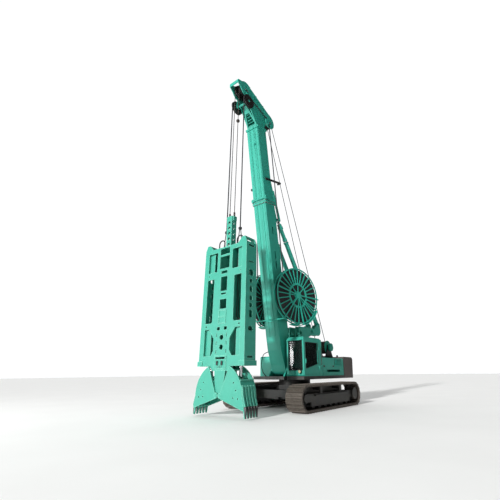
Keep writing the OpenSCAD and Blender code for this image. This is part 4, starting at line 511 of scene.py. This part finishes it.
# %% Rope turns on the winch drums
rope_d, drum_r, flanges = 0.036, 0.31, 0.10
rope_out = drum_r + rope_d * 0.4
for label in ("left", "right"):
    low, high = corners(f"winch_drum_{label}")
    axis = middle(f"winch_drum_{label}")
    count = int((high.y - low.y - flanges) / rope_d)
    spots = [axis + Vector((rope_out, (i - (count - 1) / 2) * rope_d, 0)) for i in range(count)]
    rings = spun_rings(spots, rope_d / 2, sides=6, steps=40, hub=axis)
    settle(rings, f"rope_turns_{label}", f"winch_{label}", wire_rope, smooth=60)
    print("rope turns", label, count)

# %% [markdown]
# The jaws' teeth wear out first, so each is a steel cap on a painted shank. One cap starts as a cube, its
# lower end is drawn to a blunt chisel, and its edges are rounded. Five copies go on each jaw, turned with
# the open jaw. The cap's two ends are given for a closed jaw, from the jaw's pin.

# %% Tooth caps
jaw_pin, jaw_open = Vector((0, 0.110, 0.770)), math.radians(73)
tooth_pitch, teeth = 0.156, 5
cap_wide, cap_deep, cap_long, cap_seat = 0.076, 0.088, 0.33, 0.322
chisel_shares = (0.82, 0.34, 1.0)
cap_top, cap_tip = Vector((0, -0.02, -1.335)), Vector((0, -0.296, -1.426))
cap = block((cap_wide, cap_deep, cap_long), (0, 0, -cap_long / 2))
pick_bottom(cap)
bpy.ops.transform.resize(value=chisel_shares, center_override=(0, 0, -cap_long))
pick_top(cap)
inset_and_move(rim=0.012, move=(0, 0, 0.05))
soften(cap, width=0.008)
grab_x = middle("grab_frame").x
swing = Matrix.Rotation(jaw_open, 4, "X")
top, tip = jaw_pin + swing @ cap_top, jaw_pin + swing @ cap_tip
lean = math.atan2(tip.y - top.y, top.z - tip.z)
rows = [shift(((i - teeth // 2) * tooth_pitch + tooth_pitch / 4, top.y, tip.z + cap_seat))
        @ Matrix.Rotation(lean, 4, "X") for i in range(teeth)]
for half_turn, label in ((0.0, "left"), (math.pi, "right")):
    facing = shift((grab_x, 0, 0)) @ Matrix.Rotation(half_turn, 4, "Z")
    copy_to(cap, [facing @ row for row in rows], f"tooth_caps_{label}", f"{label}_jaw", tooth_steel)
discard(cap)
print("tooth caps", teeth, "a jaw, lean", round(math.degrees(lean), 1))

# %% [markdown]
# The two halves of the mast are bolted through their flanges. One hex bolt is modelled from a six-sided
# cylinder, with a chamfered head and a washer, half let into the plate. It is copied along the lips on
# three sides, nuts below. The mast leans, so its bolts are placed in a frame that stands at its foot and
# leans with it.


# %% Mast flange bolts
def hex_bolt(across_flats, height):
    radius = across_flats / math.sqrt(3)
    washer = height * 0.18
    bolt = round_bar(radius, height, 6)
    pick_top(bolt)
    inset_and_move(rim=radius * 0.12, move=(0, 0, height * 0.14))
    inset_and_move(rim=radius * 0.25, move=(0, 0, -height * 0.08))
    pick_bottom(bolt)
    draw_out(move=(0, 0, -washer), grow=1.35)
    bpy.ops.object.mode_set(mode="OBJECT")
    bolt.data.transform(shift((0, 0, washer)))
    return bolt


mast_lean = math.radians(9)
mast_frame = shift(at(1.15, 0, 1.65)) @ Matrix.Rotation(mast_lean, 4, "Y")
lip, flange_w, flange_thick = 0.0225, 8.5, 0.06
front_u, side_u, side_run, half_y, bolts_a_side = 0.395, -0.36, 0.73, 0.40, 7
bolt = hex_bolt(across_flats=0.055, height=0.034)
spots = []
for face, turn_over in ((flange_w + flange_thick, 0.0), (flange_w - flange_thick, math.pi)):
    over = Matrix.Rotation(turn_over, 4, "X")
    for i in range(bolts_a_side):
        share = i / (bolts_a_side - 1)
        rim = [(front_u + lip, half_y * (2 * share - 1))]
        rim += [(side_u + side_run * share, side * (half_y + lip)) for side in (-1, 1)]
        spots += [mast_frame @ shift((u, y, face)) @ over for u, y in rim]
copy_to(bolt, spots, "mast_flange_bolts", "mast", zinc_plate)
print("flange bolts", len(spots))

# %% [markdown]
# Sheave axles are kept from turning by a plate that is let into a notch in the axle's end and bolted to
# the cheek. Each plate starts as a cube and is rounded, and the flange bolt is used again, two to a
# plate.

# %% Axle keeper plates on the mast's head
cheek_out, plate_drop, bolt_reach = 0.32, 0.095, 0.085
plate_thick = 0.022
plate = block(size=(0.24, plate_thick, 0.085))
pick_faces(plate, lambda centre, normal: abs(normal.y) > 0.9)
bpy.ops.mesh.inset(thickness=0.01, use_individual=True)
soften(plate, width=0.005)
plate_spots, bolt_spots = [], []
for axle in (middle("front_sheaves"), middle("rear_sheaves")):
    for side in (-1, 1):
        y = side * (cheek_out + plate_thick / 2)
        plate_spots.append(shift((axle.x, y, axle.z - plate_drop)))
        bolt_spots += [shift((axle.x + x, y + side * 0.01, axle.z - plate_drop))
                       @ Matrix.Rotation(-side * quarter_turn, 4, "X") for x in (-bolt_reach, bolt_reach)]
copy_to(plate, plate_spots, "axle_keeper_plates", "mast", oiled_steel)
copy_to(bolt, bolt_spots, "axle_keeper_bolts", "mast", zinc_plate)
discard(plate)
discard(bolt)
print("keeper plates", len(plate_spots))

# %% [markdown]
# Pipes, rails and seals are all bent tube. A poly curve with rounded corners and a round bevel is the
# quickest way to one, and it is then made a mesh. Each corner becomes an arc that touches both of its
# sides.


# %% Bent pipes
def rounded_path(points, radius, steps=5):
    path = [Vector(points[0])]
    for before, corner, after in zip(points, points[1:], points[2:]):
        corner = Vector(corner)
        into = (Vector(before) - corner).normalized()
        out = (Vector(after) - corner).normalized()
        half = into.angle(out) / 2
        reach = radius / math.tan(half)
        centre = corner + (into + out).normalized() * (radius / math.sin(half))
        start, end = corner + into * reach - centre, corner + out * reach - centre
        path += [centre + start.slerp(end, i / steps).normalized() * radius for i in range(steps + 1)]
    return path + [Vector(points[-1])]


def tube(lines, radius, fineness=2):
    begin()
    bpy.ops.curve.primitive_nurbs_path_add()
    curve = bpy.context.object.data
    curve.splines.clear()
    curve.bevel_depth = radius
    curve.bevel_resolution = fineness
    curve.use_fill_caps = True
    for line in lines:
        spline = curve.splines.new("POLY")
        spline.points.add(len(line) - 1)
        for point, place in zip(spline.points, line):
            point.co = (*place, 1.0)
    bpy.ops.object.convert(target="MESH")
    return bpy.context.object


def pipe(name, runs, body, material, radius, bend):
    made = tube([rounded_path(run, bend) for run in runs], radius)
    return settle(made, name, body, material, smooth=60)


print("pipe helpers ready")

# %% [markdown]
# The luff cylinders hold the mast. The end of each rod that never enters the barrel wears a painted
# sleeve with two collars and an oil pipe, so no bright rod shows while the mast stands. A sleeve starts
# as a cylinder, and its ends are drawn out ring by ring to collars and spigots. Lengths run along the
# cylinder from its lower pin.

# %% Sleeves on the luff rods
luff_axis = Vector((0.57664432, 0, 0.81699531))
luff_low, luff_y = Vector((-2.799937, 0, 4.05)), 0.295
sleeve_r, sleeve_from, sleeve_to, collar, spigot = 0.104, 5.20, 6.22, 0.10, 0.06
port, pipe_out = 0.11, 0.118 * 1.18
sleeve = round_bar(sleeve_r, sleeve_to - sleeve_from - 2 * (collar + spigot), sides=32)
for end in (1, -1):
    for grow, rise in ((1.18, 0.0), (1.0, collar), (0.847, 0.0), (1.0, spigot)):
        pick_faces(sleeve, lambda centre, normal: normal.z * end > 0.9)
        draw_out(move=(0, 0, end * rise), grow=grow)
soften(sleeve, width=0.006)
lean = math.atan2(luff_axis.x, luff_axis.z)
out = Vector((-luff_axis.z, 0, luff_axis.x)) * pipe_out
spots, pipe_runs = [], []
for side in (-1, 1):
    line = luff_low + Vector((0, side * luff_y, 0))
    spots.append(shift(line + luff_axis * (sleeve_from + sleeve_to) / 2) @ Matrix.Rotation(lean, 4, "Y"))
    near, far = line + luff_axis * (sleeve_from + port), line + luff_axis * (sleeve_to - port)
    pipe_runs.append([near, near + out, far + out, far])
copy_to(sleeve, spots, "luff_rod_sleeves", "luff_rod", teal_enamel)
discard(sleeve)
pipe("luff_oil_pipes", pipe_runs, "luff_rod", oiled_steel, radius=0.013, bend=0.03)
print("luff sleeves", len(spots))

# %% [markdown]
# The jaw pins end in round painted caps, half let into the plates. A turned profile could be spun, but
# two insets on a cylinder's face give the same sunk ring and low boss.

# %% Jaw pin caps
jaw_half = 0.4
pin_cap = round_bar(radius=0.082, depth=0.016, sides=32)
pick_top(pin_cap)
inset_and_move(rim=0.02, move=(0, 0, -0.006))
inset_and_move(rim=0.03, move=(0, 0, 0.004))
soften(pin_cap, width=0.003)
spots = [shift((grab_x + end * jaw_half, side * jaw_pin.y, jaw_pin.z))
         @ Matrix.Rotation(end * quarter_turn, 4, "Y") for side in (-1, 1) for end in (-1, 1)]
copy_to(pin_cap, spots, "jaw_pin_caps", "grab", grab_enamel)
discard(pin_cap)
print("pin caps", len(spots))

# %% [markdown]
# The shield above the jaws has two upright slots. Each is drawn as a dark steel plate, a painted shade for
# the dark inside of the slot: a thin cube whose corners are bevelled round. Its face is then inset and
# pressed in. Copies go to both faces of the grab.

# %% Dark slot plates in the shield, painted shade
shield_out, slot_y, slot_z = 0.392, 0.13, 1.925
slot_plate_thick, slot_plate_wide, slot_plate_tall = 0.016, 0.078, 0.17
# Painted shade: these dark plates stand for the shade inside the slots.
slot_shade_plate = block((slot_plate_thick, slot_plate_wide, slot_plate_tall))
bpy.ops.object.mode_set(mode="EDIT")
bpy.ops.mesh.select_all(action="DESELECT")
bpy.ops.object.mode_set(mode="OBJECT")
for edge in slot_shade_plate.data.edges:
    ends = [slot_shade_plate.data.vertices[i].co.x for i in edge.vertices]
    edge.select = abs(ends[0] - ends[1]) > slot_plate_thick / 2
bpy.ops.object.mode_set(mode="EDIT")
bpy.ops.mesh.bevel(offset=0.034, segments=5)
pick_faces(slot_shade_plate, lambda centre, normal: normal.x > 0.9)
inset_and_move(rim=0.012, move=(-0.013, 0, 0))
bpy.ops.object.mode_set(mode="OBJECT")
spots = [shift((grab_x, y, slot_z)) @ Matrix.Rotation(turn, 4, "Z") @ shift((shield_out, 0, 0))
         for y in (-slot_y, slot_y) for turn in (0.0, math.pi)]
copy_to(slot_shade_plate, spots, "shield_slot_shade_plates", "grab", oiled_steel)
discard(slot_shade_plate)
print("slot shade plates", len(spots))

# %% [markdown]
# Oil for the jaw cylinders runs down inside the frame in steel pipes and turns out to each cylinder's
# head. Two pipes a side end one above the other. The sides mirror each other, so one loop writes all four
# routes.

# %% Oil pipes in the grab
pipe_top, pipe_low, pipe_end, pipe_step = 6.735, 3.62, 3.48, 0.1
column_y, cylinder_y = 0.485, 0.70
pipe_runs = []
for side in (-1, 1):
    for step, x in ((0, grab_x - 0.10), (1, grab_x)):
        rise = pipe_step * step
        pipe_runs.append([(x, side * column_y, pipe_top), (x, side * column_y, pipe_low + rise),
                          (x, side * cylinder_y, pipe_end + rise)])
pipe("jaw_oil_pipes", pipe_runs, "grab", oiled_steel, radius=0.016, bend=0.06)
print("oil pipes", len(pipe_runs))

# %% [markdown]
# A hose loops from the right side of the boom's foot to the turntable; on the machine it gives as the mast
# luffs. Its route is a smooth curve through a few points, with one more point past each end, so that it
# leaves its fittings straight. The tube is a round bevel on that curve, and here it rides on no body, so it
# stays fixed.

# %% Hose loop at the mast's foot
foot_hose_d, curve_steps = 0.036, 6
hose_points = [at(1.50, -0.36, 2.50), at(1.50, -0.48, 2.50), at(1.56, -0.58, 2.46), at(1.72, -0.64, 2.34),
               at(1.89, -0.61, 1.94), at(1.85, -0.57, 1.62), at(1.70, -0.53, 1.44), at(1.61, -0.52, 1.36)]
guides = [2 * hose_points[0] - hose_points[1], *hose_points, 2 * hose_points[-1] - hose_points[-2]]
hose_line = []
for a, b, c, d in zip(guides, guides[1:], guides[2:], guides[3:]):
    for step in range(curve_steps):
        t = step / curve_steps
        bend = (2 * a - 5 * b + 4 * c - d) * t ** 2 + (3 * b - a - 3 * c + d) * t ** 3
        hose_line.append(b + 0.5 * ((c - a) * t + bend))
hose_line.append(hose_points[-1])
foot_hose = tube([hose_line], foot_hose_d / 2, fineness=3)
settle(foot_hose, "foot_hose_loop", None, hose_rubber, smooth=60)
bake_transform(foot_hose)

# %% [markdown]
# A handrail of bent tube guards the walkway on the right hood: a top rail, a knee rail and posts, each
# post's foot held by four bolts. It could be built from cylinders and quarter rings, but routes for the
# pipe function are shorter, and their bends are true arcs.

# %% Handrail on the right hood
right_low, right_high = corners("hood_right")
deck, rail_y = right_high.z, right_low.y + 0.08
rail_top, knee = deck + 1.05, deck + 0.52
rail_back, rail_front = right_low.x + 0.25, right_high.x - 0.9
posts = [rail_back + (rail_front - rail_back) * i / 3 for i in range(4)]
runs = [[(rail_back, rail_y, deck), (rail_back, rail_y, rail_top), (rail_front, rail_y, rail_top),
         (rail_front, rail_y, deck)]]
runs += [[(x, rail_y, deck), (x, rail_y, rail_top)] for x in posts[1:3]]
runs += [[(rail_back, rail_y, knee), (rail_front, rail_y, knee)]]
pipe("hood_handrail", runs, "upper", teal_enamel, radius=0.019, bend=0.12)
small_bolt = hex_bolt(across_flats=0.024, height=0.016)
spots = [shift((x + dx, rail_y + dy, deck))
         for x in posts for dx in (-0.045, 0.045) for dy in (-0.03, 0.03)]
copy_to(small_bolt, spots, "handrail_foot_bolts", "upper", zinc_plate)
print("handrail from", round(rail_back, 2), "to", round(rail_front, 2))

# %% [markdown]
# Work lamps light the trench: one on the cab's front below the windscreen, and one on the mast's right
# side. A lamp is a cylinder with its face pressed in for the lens and a tapered back. The housing and the
# lens are separate pieces, because their finishes differ.

# %% Work lamps
cab_front, cab_floor = at(1.42, 0, 0).x, 1.39
housing = round_bar(radius=0.075, depth=0.09, sides=28, place=(0, 0, 0.085))
pick_top(housing)
inset_and_move(rim=0.010, move=(0, 0, -0.016))
pick_bottom(housing)
draw_out(move=(0, 0, -0.04), grow=0.5)
soften(housing, width=0.004)
lens = round_bar(radius=0.064, depth=0.012, sides=28, place=(0, 0, 0.118))
pick_top(lens)
inset_and_move(rim=0.022, move=(0, 0, 0.006))
soften(lens, width=0.002)
lamp_y, lamp_rise, lamp_tilt, lamp_back = 1.30, 0.20, math.radians(92), 0.08
on_mast = mast_frame.inverted() @ at(3.0, -half_y, 10.92)
lamp_places = {
    "upper": shift((cab_front, lamp_y, cab_floor + lamp_rise)) @ Matrix.Rotation(lamp_tilt, 4, "Y"),
    "mast": (mast_frame @ shift((on_mast.x - lamp_back, -half_y, on_mast.z))
             @ Matrix.Rotation(quarter_turn, 4, "X"))}
for body, spot in lamp_places.items():
    copy_to(housing, [spot], f"work_lamp_{body}", body, black_enamel)
    copy_to(lens, [spot], f"work_lamp_lens_{body}", body, lamp_lens)
discard(housing)
discard(lens)
print("work lamps", len(lamp_places))

# %% [markdown]
# The panes are held in the cab by black rubber seals that run round each opening. A seal is one closed
# pipe with rounded corners, which starts and ends in the middle of a side. The door's seal rides on the
# door, so it swings with it.

# %% Window seals
cab_tall, cab_y0, cab_y1 = 1.68, 0.552, 1.492
seal_bend, seal_gap, proud, rim, pane_lap = 0.06, 0.001, 0.002, 0.09, 0.02
sill, head = cab_floor + cab_tall * 0.15, cab_floor + cab_tall * 0.92
near, far = cab_y0 + rim, cab_y1 - rim
half, face = (near + far) / 2, cab_front + proud
screen_run = [(half, sill), (far, sill), (far, head), (near, head), (near, sill), (half - seal_gap, sill)]
pipe("windscreen_seal", [[(face, y, z) for y, z in screen_run]], "upper", hose_rubber, radius=0.014,
     bend=seal_bend)
pane_low, pane_high = corners("door_glass")
back, front, top = pane_low.x + pane_lap, pane_high.x - pane_lap, pane_high.z - pane_lap
front_sill, rear_sill = pane_low.z + pane_lap, cab_floor + cab_tall * 0.33
half, face = (back + front) / 2, cab_y1 + proud
door_run = [(half, top), (front, top), (front, front_sill), (back, rear_sill), (back, top),
            (half - seal_gap, top)]
pipe("door_window_seal", [[(x, face, z) for x, z in door_run]], "door", hose_rubber, radius=0.013,
     bend=seal_bend)
print("seals on the windscreen and the door")

# %% [markdown]
# A wiper rests on the windscreen, and a grab rail stands beside the door. Both are thin and round, so
# short bent pipes through three or four points are enough.

# %% Wiper and grab rail
wiper_y, wiper_z, wiper_aside, wiper_up = 0.72, sill + 0.03, 0.42, 0.78
wiper_run = [(cab_front, wiper_y, wiper_z - 0.10), (cab_front + 0.02, wiper_y, wiper_z),
             (cab_front, wiper_y + wiper_aside, wiper_z + wiper_up)]
pipe("windscreen_wiper", [wiper_run], "upper", oiled_steel, radius=0.010, bend=0.03)
rail_x, rail_out, rail_in = at(-0.10, 0, 0).x, cab_y1 + 0.06, cab_y1 - 0.01
rail_low, rail_high = cab_floor + 0.50, cab_floor + 1.25
rail_run = [(rail_x, rail_in, rail_low), (rail_x, rail_out, rail_low), (rail_x, rail_out, rail_high),
            (rail_x, rail_in, rail_high)]
pipe("door_grab_rail", [rail_run], "upper", black_enamel, radius=0.014, bend=0.04)
print("wiper and grab rail on the cab")

# %% [markdown]
# Through the glass one sees two joysticks on the consoles and a screen on a stalk. A joystick starts as a
# cylinder and swells where the hand holds it, so its top face is drawn out step by step. The screen is a
# cube with its face pressed in.

# %% Joysticks and screen in the cab
seat_low, seat_high = corners("cab_seat")
cab_low, cab_high = corners("cab_shell")
stick = round_bar(radius=0.022, depth=0.05, sides=16)
for rise, grow in ((0.09, 0.55), (0.03, 2.1), (0.06, 1.1), (0.03, 0.8), (0.012, 0.5)):
    crown = max(vertex.co.z for vertex in stick.data.vertices) - 0.001
    pick_faces(stick, lambda centre, normal: normal.z > 0.9 and centre.z > crown)
    draw_out(move=(0, 0, rise), grow=grow)
    bpy.ops.object.mode_set(mode="OBJECT")
console, stick_back, stick_rise, stick_lean = 0.065, 0.10, 0.62, math.radians(8)
spots = [shift((seat_high.x - stick_back, y, seat_low.z + stick_rise)) @ Matrix.Rotation(stick_lean, 4, "Y")
         for y in (seat_low.y + console, seat_high.y - console)]
copy_to(stick, spots, "joysticks", "upper", seat_cloth)
discard(stick)
screen_x, screen_y, screen_z = cab_high.x - 0.42, cab_low.y + 0.20, cab_low.z + 0.80
screen = block(size=(0.05, 0.26, 0.19), place=(screen_x, screen_y, screen_z))
pick_faces(screen, lambda centre, normal: normal.x < -0.9)
inset_and_move(rim=0.018, move=(0.008, 0, 0))
soften(screen, width=0.008)
settle(screen, "cab_screen", "upper", black_enamel)
stalk_run = [(screen_x, screen_y, screen_z - 0.05), (screen_x, screen_y, cab_low.z + 0.3),
             (screen_x + 0.2, screen_y, cab_low.z + 0.1)]
pipe("cab_screen_stalk", [stalk_run], "upper", oiled_steel, radius=0.014, bend=0.06)
print("joysticks", len(spots))

# %% [markdown]
# Air leaves the rear of the left hood through a door with louvres. One slat starts as a thin cube, leans
# out at its foot and is rounded, and nine copies fill the door. Behind them sits a dark panel with its face
# pressed in, a painted shade for the dark inside of the hood seen between the slats.

# %% Louvre door on the left hood
hood_low, hood_high = corners("hood_left")
skin, door_x, door_z = 1.480, at(-1.95, 0, 0).x, 2.03
slats, slat_pitch = 9, 0.033
slat = block(size=(0.74, 0.008, 0.026))
pick_bottom(slat)
bpy.ops.transform.translate(value=(0, 0.014, 0))
soften(slat, width=0.002)
spots = [shift((door_x, skin + 0.012, door_z + (i - (slats - 1) / 2) * slat_pitch)) for i in range(slats)]
copy_to(slat, spots, "hood_louvres", "upper", teal_enamel)
discard(slat)
# Painted shade: this dark panel stands for the shaded inside of the hood.
panel = block(size=(0.80, 0.012, 0.34), place=(door_x, skin, door_z))
pick_faces(panel, lambda centre, normal: normal.y > 0.9)
inset_and_move(rim=0.022, move=(0, -0.004, 0))
soften(panel, width=0.002)
settle(panel, "louvre_shade_backing", "upper", black_enamel)
print("louvre slats", slats, "on a skin at y", round(skin, 3), "hood box to", round(hood_high.y, 3))

# %% [markdown]
# Each winch is driven by a hydraulic motor with a round painted cover. The cover starts as a cylinder,
# its outer face is inset and raised twice, and six bolts hold its rim.

# %% Winch motor covers
stand_low, stand_high = corners("winch_stand")
winch_mid = middle("winch_drum_left")
rim_bolts, bolt_circle = 6, 0.187
cover = round_bar(radius=0.215, depth=0.11, sides=40, place=(0, 0, -0.05))
pick_top(cover)
bpy.ops.mesh.inset(thickness=0.055)
draw_out(move=(0, 0, 0.03), grow=0.93)
bpy.ops.mesh.inset(thickness=0.05)
draw_out(move=(0, 0, 0.012))
soften(cover, width=0.006)
cover_spots = [shift((winch_mid.x, reach, winch_mid.z)) @ Matrix.Rotation(-side * quarter_turn, 4, "X")
               for side, reach in ((1, stand_high.y), (-1, stand_low.y))]
bolt_spots = [spot @ Matrix.Rotation(2 * math.pi * i / rim_bolts, 4, "Z") @ shift((bolt_circle, 0, 0.004))
              for spot in cover_spots for i in range(rim_bolts)]
copy_to(cover, cover_spots, "winch_motor_covers", "upper", teal_enamel)
copy_to(small_bolt, bolt_spots, "winch_motor_bolts", "upper", zinc_plate)
discard(cover)
print("winch motor covers", len(cover_spots))

# %% [markdown]
# Hood doors have recessed latches, and bolts along the hinge line. A latch could be cut out with a
# boolean, but insets keep its faces clean: a thin cube's face is inset and pressed in, and the handle is
# drawn out again.

# %% Hood latches and hinge bolts
latch_rise, latch_proud = 0.44, 0.004
latch = block(size=(0.13, 0.018, 0.075))
pick_faces(latch, lambda centre, normal: normal.y > 0.9)
inset_and_move(rim=0.010, move=(0, -0.012, 0))
bpy.ops.mesh.inset(thickness=0.018)
draw_out(move=(0, 0.010, 0))
soften(latch, width=0.003)
spots = [shift((at(x, 0, 0).x, skin + latch_proud, hood_low.z + latch_rise)) for x in (-1.42, -0.45)]
for share in (0.2, 0.5, 0.8):
    x = right_low.x + (right_high.x - right_low.x) * share
    spots.append(shift((x, right_low.y - latch_proud, right_low.z + latch_rise))
                 @ Matrix.Rotation(math.pi, 4, "Z"))
copy_to(latch, spots, "hood_latches", "upper", black_enamel)
discard(latch)
hinge_in, hinge_sunk = 0.11, 0.004
spots = [shift((x, skin - hinge_in, hood_high.z - hinge_sunk))
         for x in (hood_low.x + 0.3, hood_low.x + 0.9, hood_high.x - 0.3)]
copy_to(small_bolt, spots, "hood_hinge_bolts", "upper", zinc_plate)
discard(small_bolt)
print("latches and hinge bolts set")

# %% [markdown]
# A flap on a pivot keeps rain out of the exhaust. It starts as a thin cylinder with a raised middle. It
# has no joint here, so the mesh itself is tilted open about its hinge at the pipe's rear edge.

# %% Rain flap on the exhaust
stack_mid, stack_top = middle("exhaust_stack"), corners("exhaust_stack")[1].z
flap_rise, hinge_back, open_angle = 0.05, 0.085, math.radians(28)
flap = round_bar(radius=0.078, depth=0.012, sides=32,
                 place=(stack_mid.x, stack_mid.y, stack_top + flap_rise))
pick_top(flap)
inset_and_move(rim=0.02, move=(0, 0, 0.008))
bpy.ops.mesh.select_all(action="SELECT")
bpy.ops.transform.rotate(value=open_angle, orient_axis="Y",
                         center_override=(stack_mid.x - hinge_back, stack_mid.y, stack_top))
soften(flap, width=0.003)
settle(flap, "exhaust_rain_flap", "upper", oiled_steel)
print("rain flap at z", round(stack_top, 2))

# %% [markdown]
# The floor is a plain pale studio floor, far wider than the picture, so that its edge is never seen. Its
# paint varies very slightly over a few metres.

# %% Studio floor
floor_wide, floor_mm = 400.0, 2500
begin()
bpy.ops.mesh.primitive_plane_add(size=floor_wide, location=(0, 0, 0))
floor = bpy.context.object
floor.name = "studio_floor"
floor_paint, tree, shader, place = new_material("studio_floor_paint")
grain = add_node(tree, "ShaderNodeTexNoise", Vector=place, Scale=noise_scale(floor_mm), Detail=3.0)
tone = add_node(tree, "ShaderNodeMix", {"data_type": "RGBA"}, Factor=grain.outputs["Fac"],
                i6=linear("#ececea"), i7=linear("#f4f4f2"))
tree.links.new(tone.outputs[2], shader.inputs["Base Color"])
shader.inputs["Roughness"].default_value = 0.9
floor.data.materials.append(floor_paint)
print("floor", floor_wide, "m wide")

# %% [markdown]
# The studio's far wall is white and its near side is dimmer, so the world's strength follows the bearing
# of the ray: bright behind the machine, and weaker on the side of the cab, where the faces lie in shade.
# The walls light the paint but are not mirrored in it, which keeps shaded paint deep in colour.

# %% Studio walls
white_wall, dim_wall, far_bearing = 1.05, 0.26, (-0.60, -0.80, 0.0)
world = bpy.data.worlds.new("studio_sky")
world.use_nodes = True
sky = world.node_tree
sky.nodes["Background"].inputs["Color"].default_value = (0.98, 0.99, 1.0, 1.0)
direction = add_node(sky, "ShaderNodeTexCoord").outputs["Generated"]
level = add_node(sky, "ShaderNodeVectorMath", {"operation": "MULTIPLY"}, i0=direction, i1=(1.0, 1.0, 0.0))
bearing = add_node(sky, "ShaderNodeVectorMath", {"operation": "NORMALIZE"}, i0=level.outputs[0])
behind = add_node(sky, "ShaderNodeVectorMath", {"operation": "DOT_PRODUCT"}, i0=bearing.outputs[0],
                  i1=far_bearing)
wall = add_node(sky, "ShaderNodeMapRange", Value=behind.outputs["Value"], From_Min=0.15, From_Max=0.38,
                To_Min=dim_wall, To_Max=white_wall)
sky.links.new(wall.outputs[0], sky.nodes["Background"].inputs["Strength"])
bpy.context.scene.world = world
world.cycles_visibility.glossy = False
bpy.context.scene.view_settings.view_transform = "Standard"
print("walls from", dim_wall, "to", white_wall)

# %% [markdown]
# One low, broad sun from straight ahead of the machine lights the front faces, and the hanging frame
# shades the mast's lower half. A soft panel at the front right fills it, and a narrow tilted strip is
# there for one thing: the streak that it mirrors in the windscreen. A panel's row holds its place, its
# target, its two sides, its tilt in degrees and its power in watts.

# %% Lights
sun_way, sun_strength = Vector((-0.93, -0.04, -0.36)), 3.7
sun_data = bpy.data.lights.new("broad_front_light", "SUN")
sun_data.energy = sun_strength
sun_data.angle = math.radians(4)
sun = bpy.data.objects.new("broad_front_light", sun_data)
sun.rotation_euler = sun_way.to_track_quat("-Z", "Y").to_euler()
bpy.context.scene.collection.objects.link(sun)
panels = {"soft_right_panel": ((24.0, -11.2, 4.5), (1.0, 0.0, 7.0), 4.0, 4.0, 0.0, 2000.0),
          "windscreen_strip": ((20.5, -12.8, 3.6), (0.7, 0.7, 2.3), 0.8, 3.0, 22.0, 170.0)}
for name, (place, target, wide, tall, tilt, power) in panels.items():
    panel_data = bpy.data.lights.new(name, "AREA")
    panel_data.shape = "RECTANGLE"
    panel_data.size = wide
    panel_data.size_y = tall
    panel_data.energy = power
    panel = bpy.data.objects.new(name, panel_data)
    panel.location = place
    facing = (Vector(target) - Vector(place)).to_track_quat("-Z", "Y").to_matrix().to_4x4()
    panel.rotation_euler = (facing @ Matrix.Rotation(math.radians(tilt), 4, "Z")).to_euler()
    panel.visible_camera = False
    bpy.context.scene.collection.objects.link(panel)
print("lights", 1 + len(panels))
